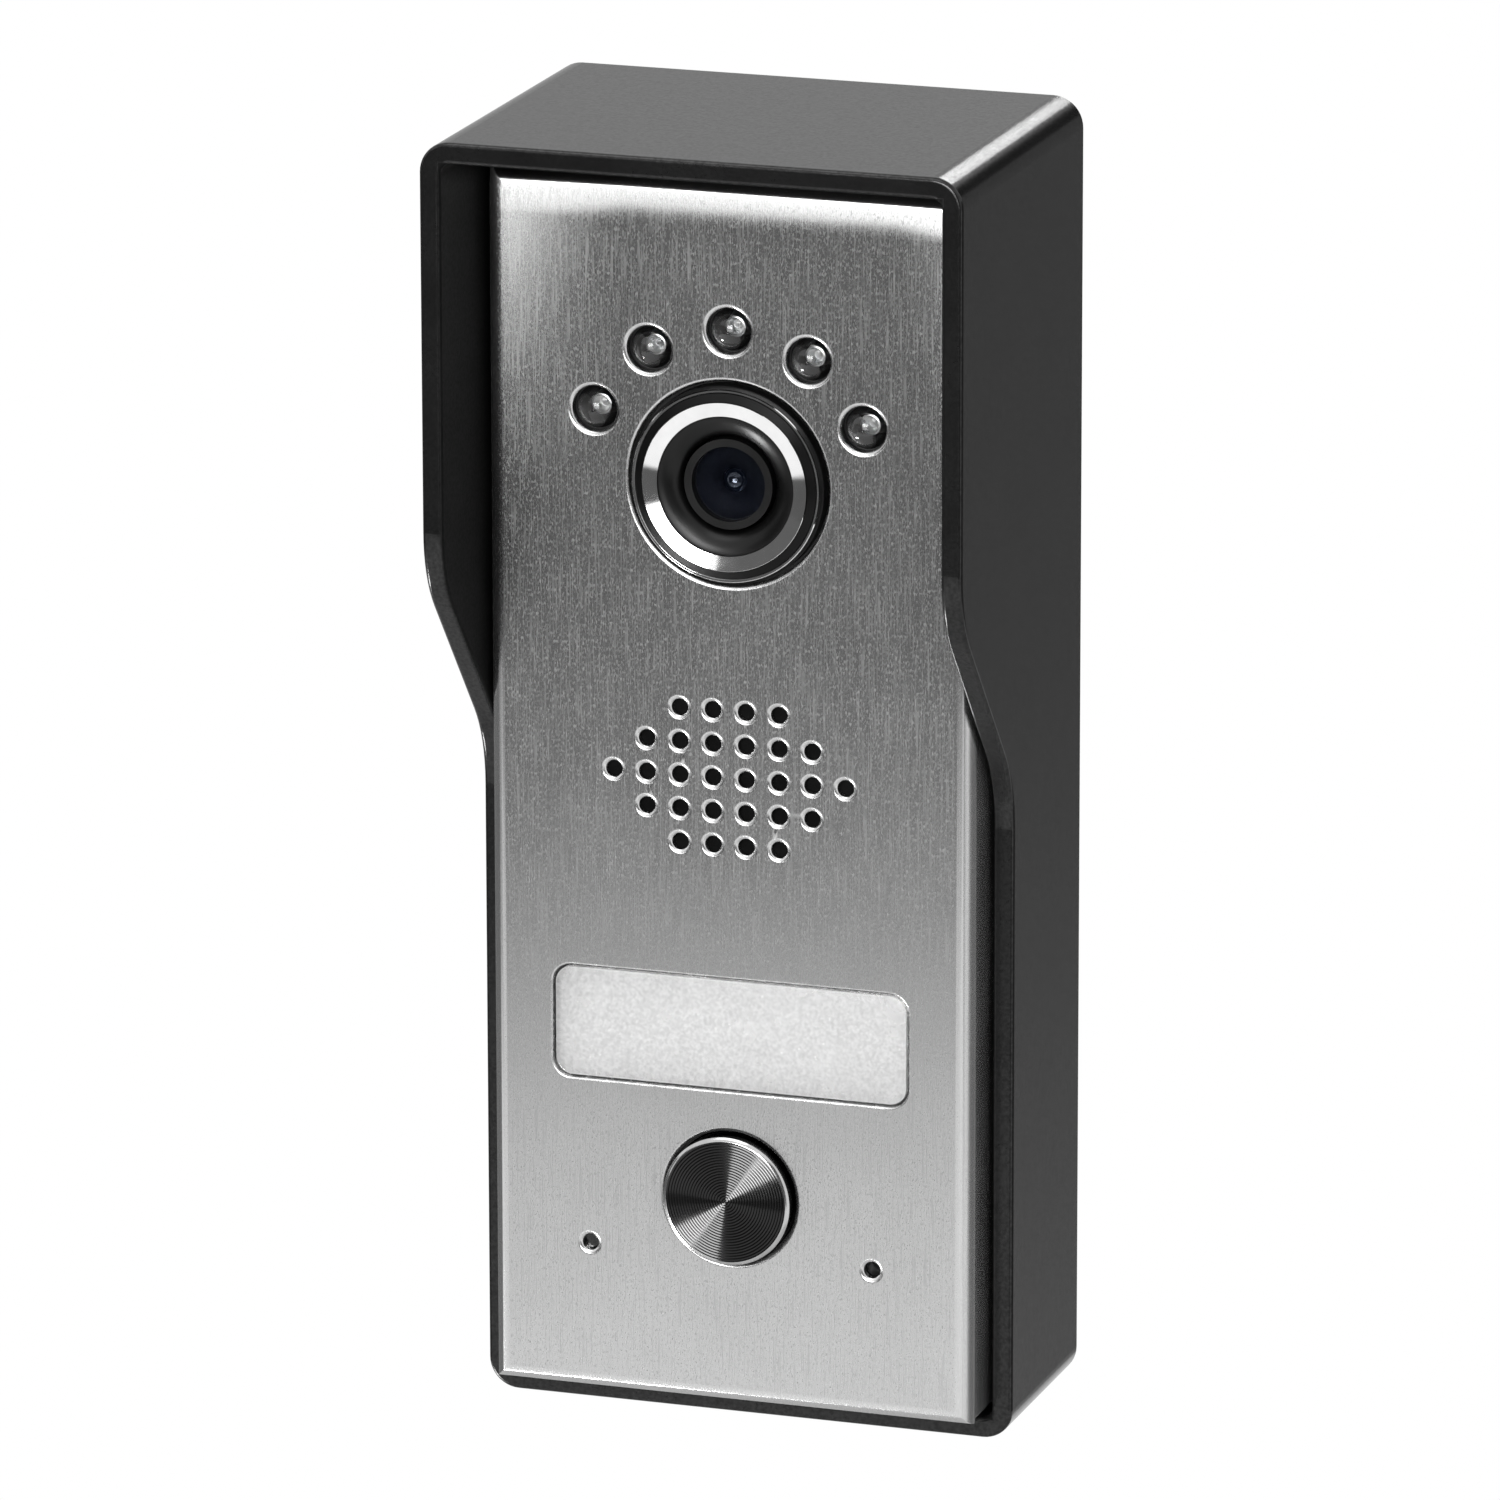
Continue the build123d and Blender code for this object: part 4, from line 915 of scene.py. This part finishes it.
# %% Name card
CARD_SETBACK = Vector((0, 0.08, 0))
CARD_TRIM = Vector((0.4, 0.1, 0.4))
CARD_ROUND = 0.06

card_low, card_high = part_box("name_card")
card_middle = (card_low + card_high) / 2 + CARD_SETBACK * MM
name_card = block("cut_name_card", card_middle, card_high - card_low - CARD_TRIM * MM, CARD_ROUND)
bpy.ops.object.shade_smooth_by_angle(angle=math.radians(30))
settle(name_card, "station", "card", "name_card")
print("name card", len(name_card.data.polygons), "faces")

# %% [markdown]
# ## Name window
# The clear window is moulded as a plate with a raised middle that fills the opening in the
# steel, so the front stays almost flush. Its rounded edge draws the thin bright and dark lines
# round the card, and the face of its border behind the steel is black, painted shade in the gap
# round the raised middle. It grows from one block: inset, extruded and bevelled.

# %% Name window
WINDOW_MARGIN = 2.28
WINDOW_RISE = 0.96
WINDOW_CORNER = 2.0
WINDOW_ROUND = 0.3
CORNER_STEPS = 10
ROUND_STEPS = 3
SHADED_BORDER_DEPTH = 0.5
EDGE_TURN = 0.97

plate_low, plate_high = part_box("nameplate_window")
window = block("raised_window", (plate_low + plate_high) / 2, plate_high - plate_low)


def select_where(piece, kind, keep):
    """Selects the edges or faces that keep says yes to, and goes to edit mode."""
    bpy.ops.object.mode_set(mode="EDIT")
    bpy.ops.mesh.select_mode(type=kind)
    bpy.ops.mesh.select_all(action="DESELECT")
    bpy.ops.object.mode_set(mode="OBJECT")
    places = [vertex.co for vertex in piece.data.vertices]
    for item in piece.data.edges if kind == "EDGE" else piece.data.polygons:
        item.select = keep([places[index] for index in item.vertices])
    bpy.ops.object.mode_set(mode="EDIT")


raised = plate_low.y - WINDOW_RISE * MM
select_where(window, "FACE", lambda ends: all(end.y < plate_low.y + MERGE for end in ends))
bpy.ops.mesh.inset(thickness=WINDOW_MARGIN * MM)
bpy.ops.mesh.extrude_region_move(TRANSFORM_OT_translate={"value": (0, -WINDOW_RISE * MM, 0)})
bpy.ops.object.mode_set(mode="OBJECT")
select_where(
    window, "EDGE",
    lambda ends: abs(ends[0].y - ends[1].y) > MERGE and min(end.y for end in ends) < raised + MERGE,
)
bpy.ops.mesh.bevel(offset=WINDOW_CORNER * MM, segments=CORNER_STEPS)
bpy.ops.object.mode_set(mode="OBJECT")
select_where(window, "EDGE", lambda ends: all(end.y < raised + MERGE for end in ends))
bpy.ops.mesh.bevel(offset=WINDOW_ROUND * MM, segments=ROUND_STEPS)
bpy.ops.object.mode_set(mode="OBJECT")
bpy.ops.object.shade_smooth_by_angle(angle=math.radians(40))
settle(window, "station", "window_clear", "nameplate_window")
# The border's front face behind the steel gets black plastic: painted shade in the gap round the raised
# middle.
window.data.materials.append(black_plastic)
for face in window.data.polygons:
    if face.normal.y < -EDGE_TURN and face.center.y > raised + SHADED_BORDER_DEPTH * MM:
        face.material_index = 1
let_light_in(window)
print("window", len(window.data.polygons), "faces")

# %% [markdown]
# ## Front panel
# A press bends the sheet's edges, and the belt that brushes it afterwards rubs the sheet down
# towards the top edge, so the face rolls off softly there before the tight bend. The solid has
# only the bend. A copy of it is cut into rows near the top, and each row is pushed back a little
# further than the one below. Punching rounds the lips of the holes, so the copy's sharp front
# edges are bevelled too.

# %% Front panel
CROWN_START = 66.25
CROWN_ROWS = 14
CROWN_RADIUS = 30.0
EDGE_ROUND = 0.26
BEND_ZONE = 2.2
TOP_LIFT = 0.3
COPLANAR = math.radians(0.5)
SHARP_EDGE = math.radians(35)

panel = merged_copy("front_panel", "crowned_panel")
bpy.ops.mesh.dissolve_limited(angle_limit=COPLANAR)
bpy.ops.mesh.select_mode(type="EDGE")
bpy.ops.mesh.select_all(action="DESELECT")
bpy.ops.mesh.edges_select_sharp(sharpness=SHARP_EDGE)
bpy.ops.object.mode_set(mode="OBJECT")
behind = panel_low.y + MERGE
for edge in panel.data.edges:
    ends = [panel.data.vertices[index].co.y for index in edge.vertices]
    edge.select = edge.select and max(ends) < behind
bpy.ops.object.mode_set(mode="EDIT")
bpy.ops.mesh.bevel(offset=EDGE_ROUND * MM, segments=ROUND_STEPS, material=1)
bpy.ops.mesh.select_mode(type="VERT")
crown_foot = CROWN_START * MM
crown_height = panel_high.z - crown_foot
for row in range(CROWN_ROWS):
    height = crown_foot + crown_height * row / CROWN_ROWS
    bpy.ops.mesh.select_all(action="SELECT")
    bpy.ops.mesh.bisect(plane_co=(0, 0, height), plane_no=(0, 0, 1))
bpy.ops.mesh.select_all(action="DESELECT")
bpy.ops.object.mode_set(mode="OBJECT")
corners = panel.data.vertices
heights = [corner.co.z for corner in corners if corner.co.z > crown_foot + MERGE]
levels = sorted({round(height, 7) for height in heights})
for height in levels:
    for corner in corners:
        corner.select = abs(corner.co.z - height) < MERGE
    bpy.ops.object.mode_set(mode="EDIT")
    bpy.ops.mesh.select_mode(type="VERT")
    rise = height - crown_foot
    lift = TOP_LIFT * MM * rise / crown_height
    bpy.ops.transform.translate(value=(0, rise * rise / (2 * CROWN_RADIUS * MM), lift))
    bpy.ops.mesh.select_all(action="DESELECT")
    bpy.ops.object.mode_set(mode="OBJECT")
bpy.ops.object.shade_smooth_by_angle(angle=math.radians(30))
bpy.ops.object.modifier_add(type="WEIGHTED_NORMAL")
weighted = panel.modifiers[-1]
weighted.keep_sharp = True
bpy.ops.object.modifier_apply(modifier=weighted.name)
settle(panel, "station", "panel_steel", "front_panel")
panel.data.materials.append(edge_steel)
margin = BEND_ZONE * MM
for face in panel.data.polygons:
    inside = abs(face.center.x) < panel_high.x - margin
    inside = inside and panel_low.z + margin < face.center.z < crown_foot
    if inside and abs(face.normal.y) < EDGE_TURN:
        face.material_index = 1
print("panel with", len(levels), "rows pushed back,", len(panel.data.polygons), "faces")

# %% [markdown]
# ## Button spring
# A wound wire spring pushes the button out. A stiff copy would poke through the button when it
# is pressed; this piece is a merged copy of the solid, shaded smooth, with a mesh of its own.

# %% Button spring
spring = merged_copy("button_spring", "wound_spring")
bpy.ops.object.mode_set(mode="OBJECT")
bpy.ops.object.shade_smooth_by_angle(angle=math.radians(60))
settle(spring, "station", "screw_steel", "button_spring")
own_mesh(spring)

# %% [markdown]
# ## Lock screw
# One countersunk screw goes up through the hood's bottom and locks the unit in. The solid has a
# plain head. The real head has a cross recess for the driver. Relief in the finish would look
# painted from close by, so the outline is turned and two crossed bars are cut out of it.

# %% Lock screw
SCREW_STEPS = 64
HEAD_RADIUS = 3.0
HEAD_CHAMFER = 0.1
HEAD_EDGE = 0.05
SHANK_RADIUS = 1.5
TIP_CHAMFER = 0.4
CROSS_ARM = 0.62
CROSS_REACH = 3.4
CROSS_DEPTH = 1.3

screw_low, screw_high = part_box("lock_screw")
screw_middle = (screw_low + screw_high) / 2
screw_length = (screw_high.z - screw_low.z) / MM
screw_outline = [
    (0, 0), (HEAD_RADIUS - HEAD_CHAMFER, 0), (HEAD_RADIUS, HEAD_EDGE),
    (SHANK_RADIUS, HEAD_RADIUS - SHANK_RADIUS), (SHANK_RADIUS, screw_length - TIP_CHAMFER),
    (SHANK_RADIUS - TIP_CHAMFER, screw_length), (0, screw_length),
]
screw_foot = Vector((screw_middle.x, screw_middle.y, screw_low.z))
screw_points = [screw_foot + Vector((radius, 0, height)) * MM for radius, height in screw_outline]
screw = spin_outline("lock_screw_head", screw_points, screw_middle, (0, 0, 1), SCREW_STEPS)
for across, along in ((CROSS_REACH, CROSS_ARM), (CROSS_ARM, CROSS_REACH)):
    arm = block("cross_arm", screw_foot, Vector((across, along, 2 * CROSS_DEPTH)) * MM)
    cut = screw.modifiers.new("recess", "BOOLEAN")
    cut.operation = "DIFFERENCE"
    cut.object = arm
    activate(screw)
    bpy.ops.object.modifier_apply(modifier=cut.name)
    bpy.data.objects.remove(arm, do_unlink=True)
bpy.ops.object.shade_smooth_by_angle(angle=math.radians(30))
settle(screw, "station", "screw_steel", "lock_screw")
print("lock screw", len(screw.data.polygons), "faces")
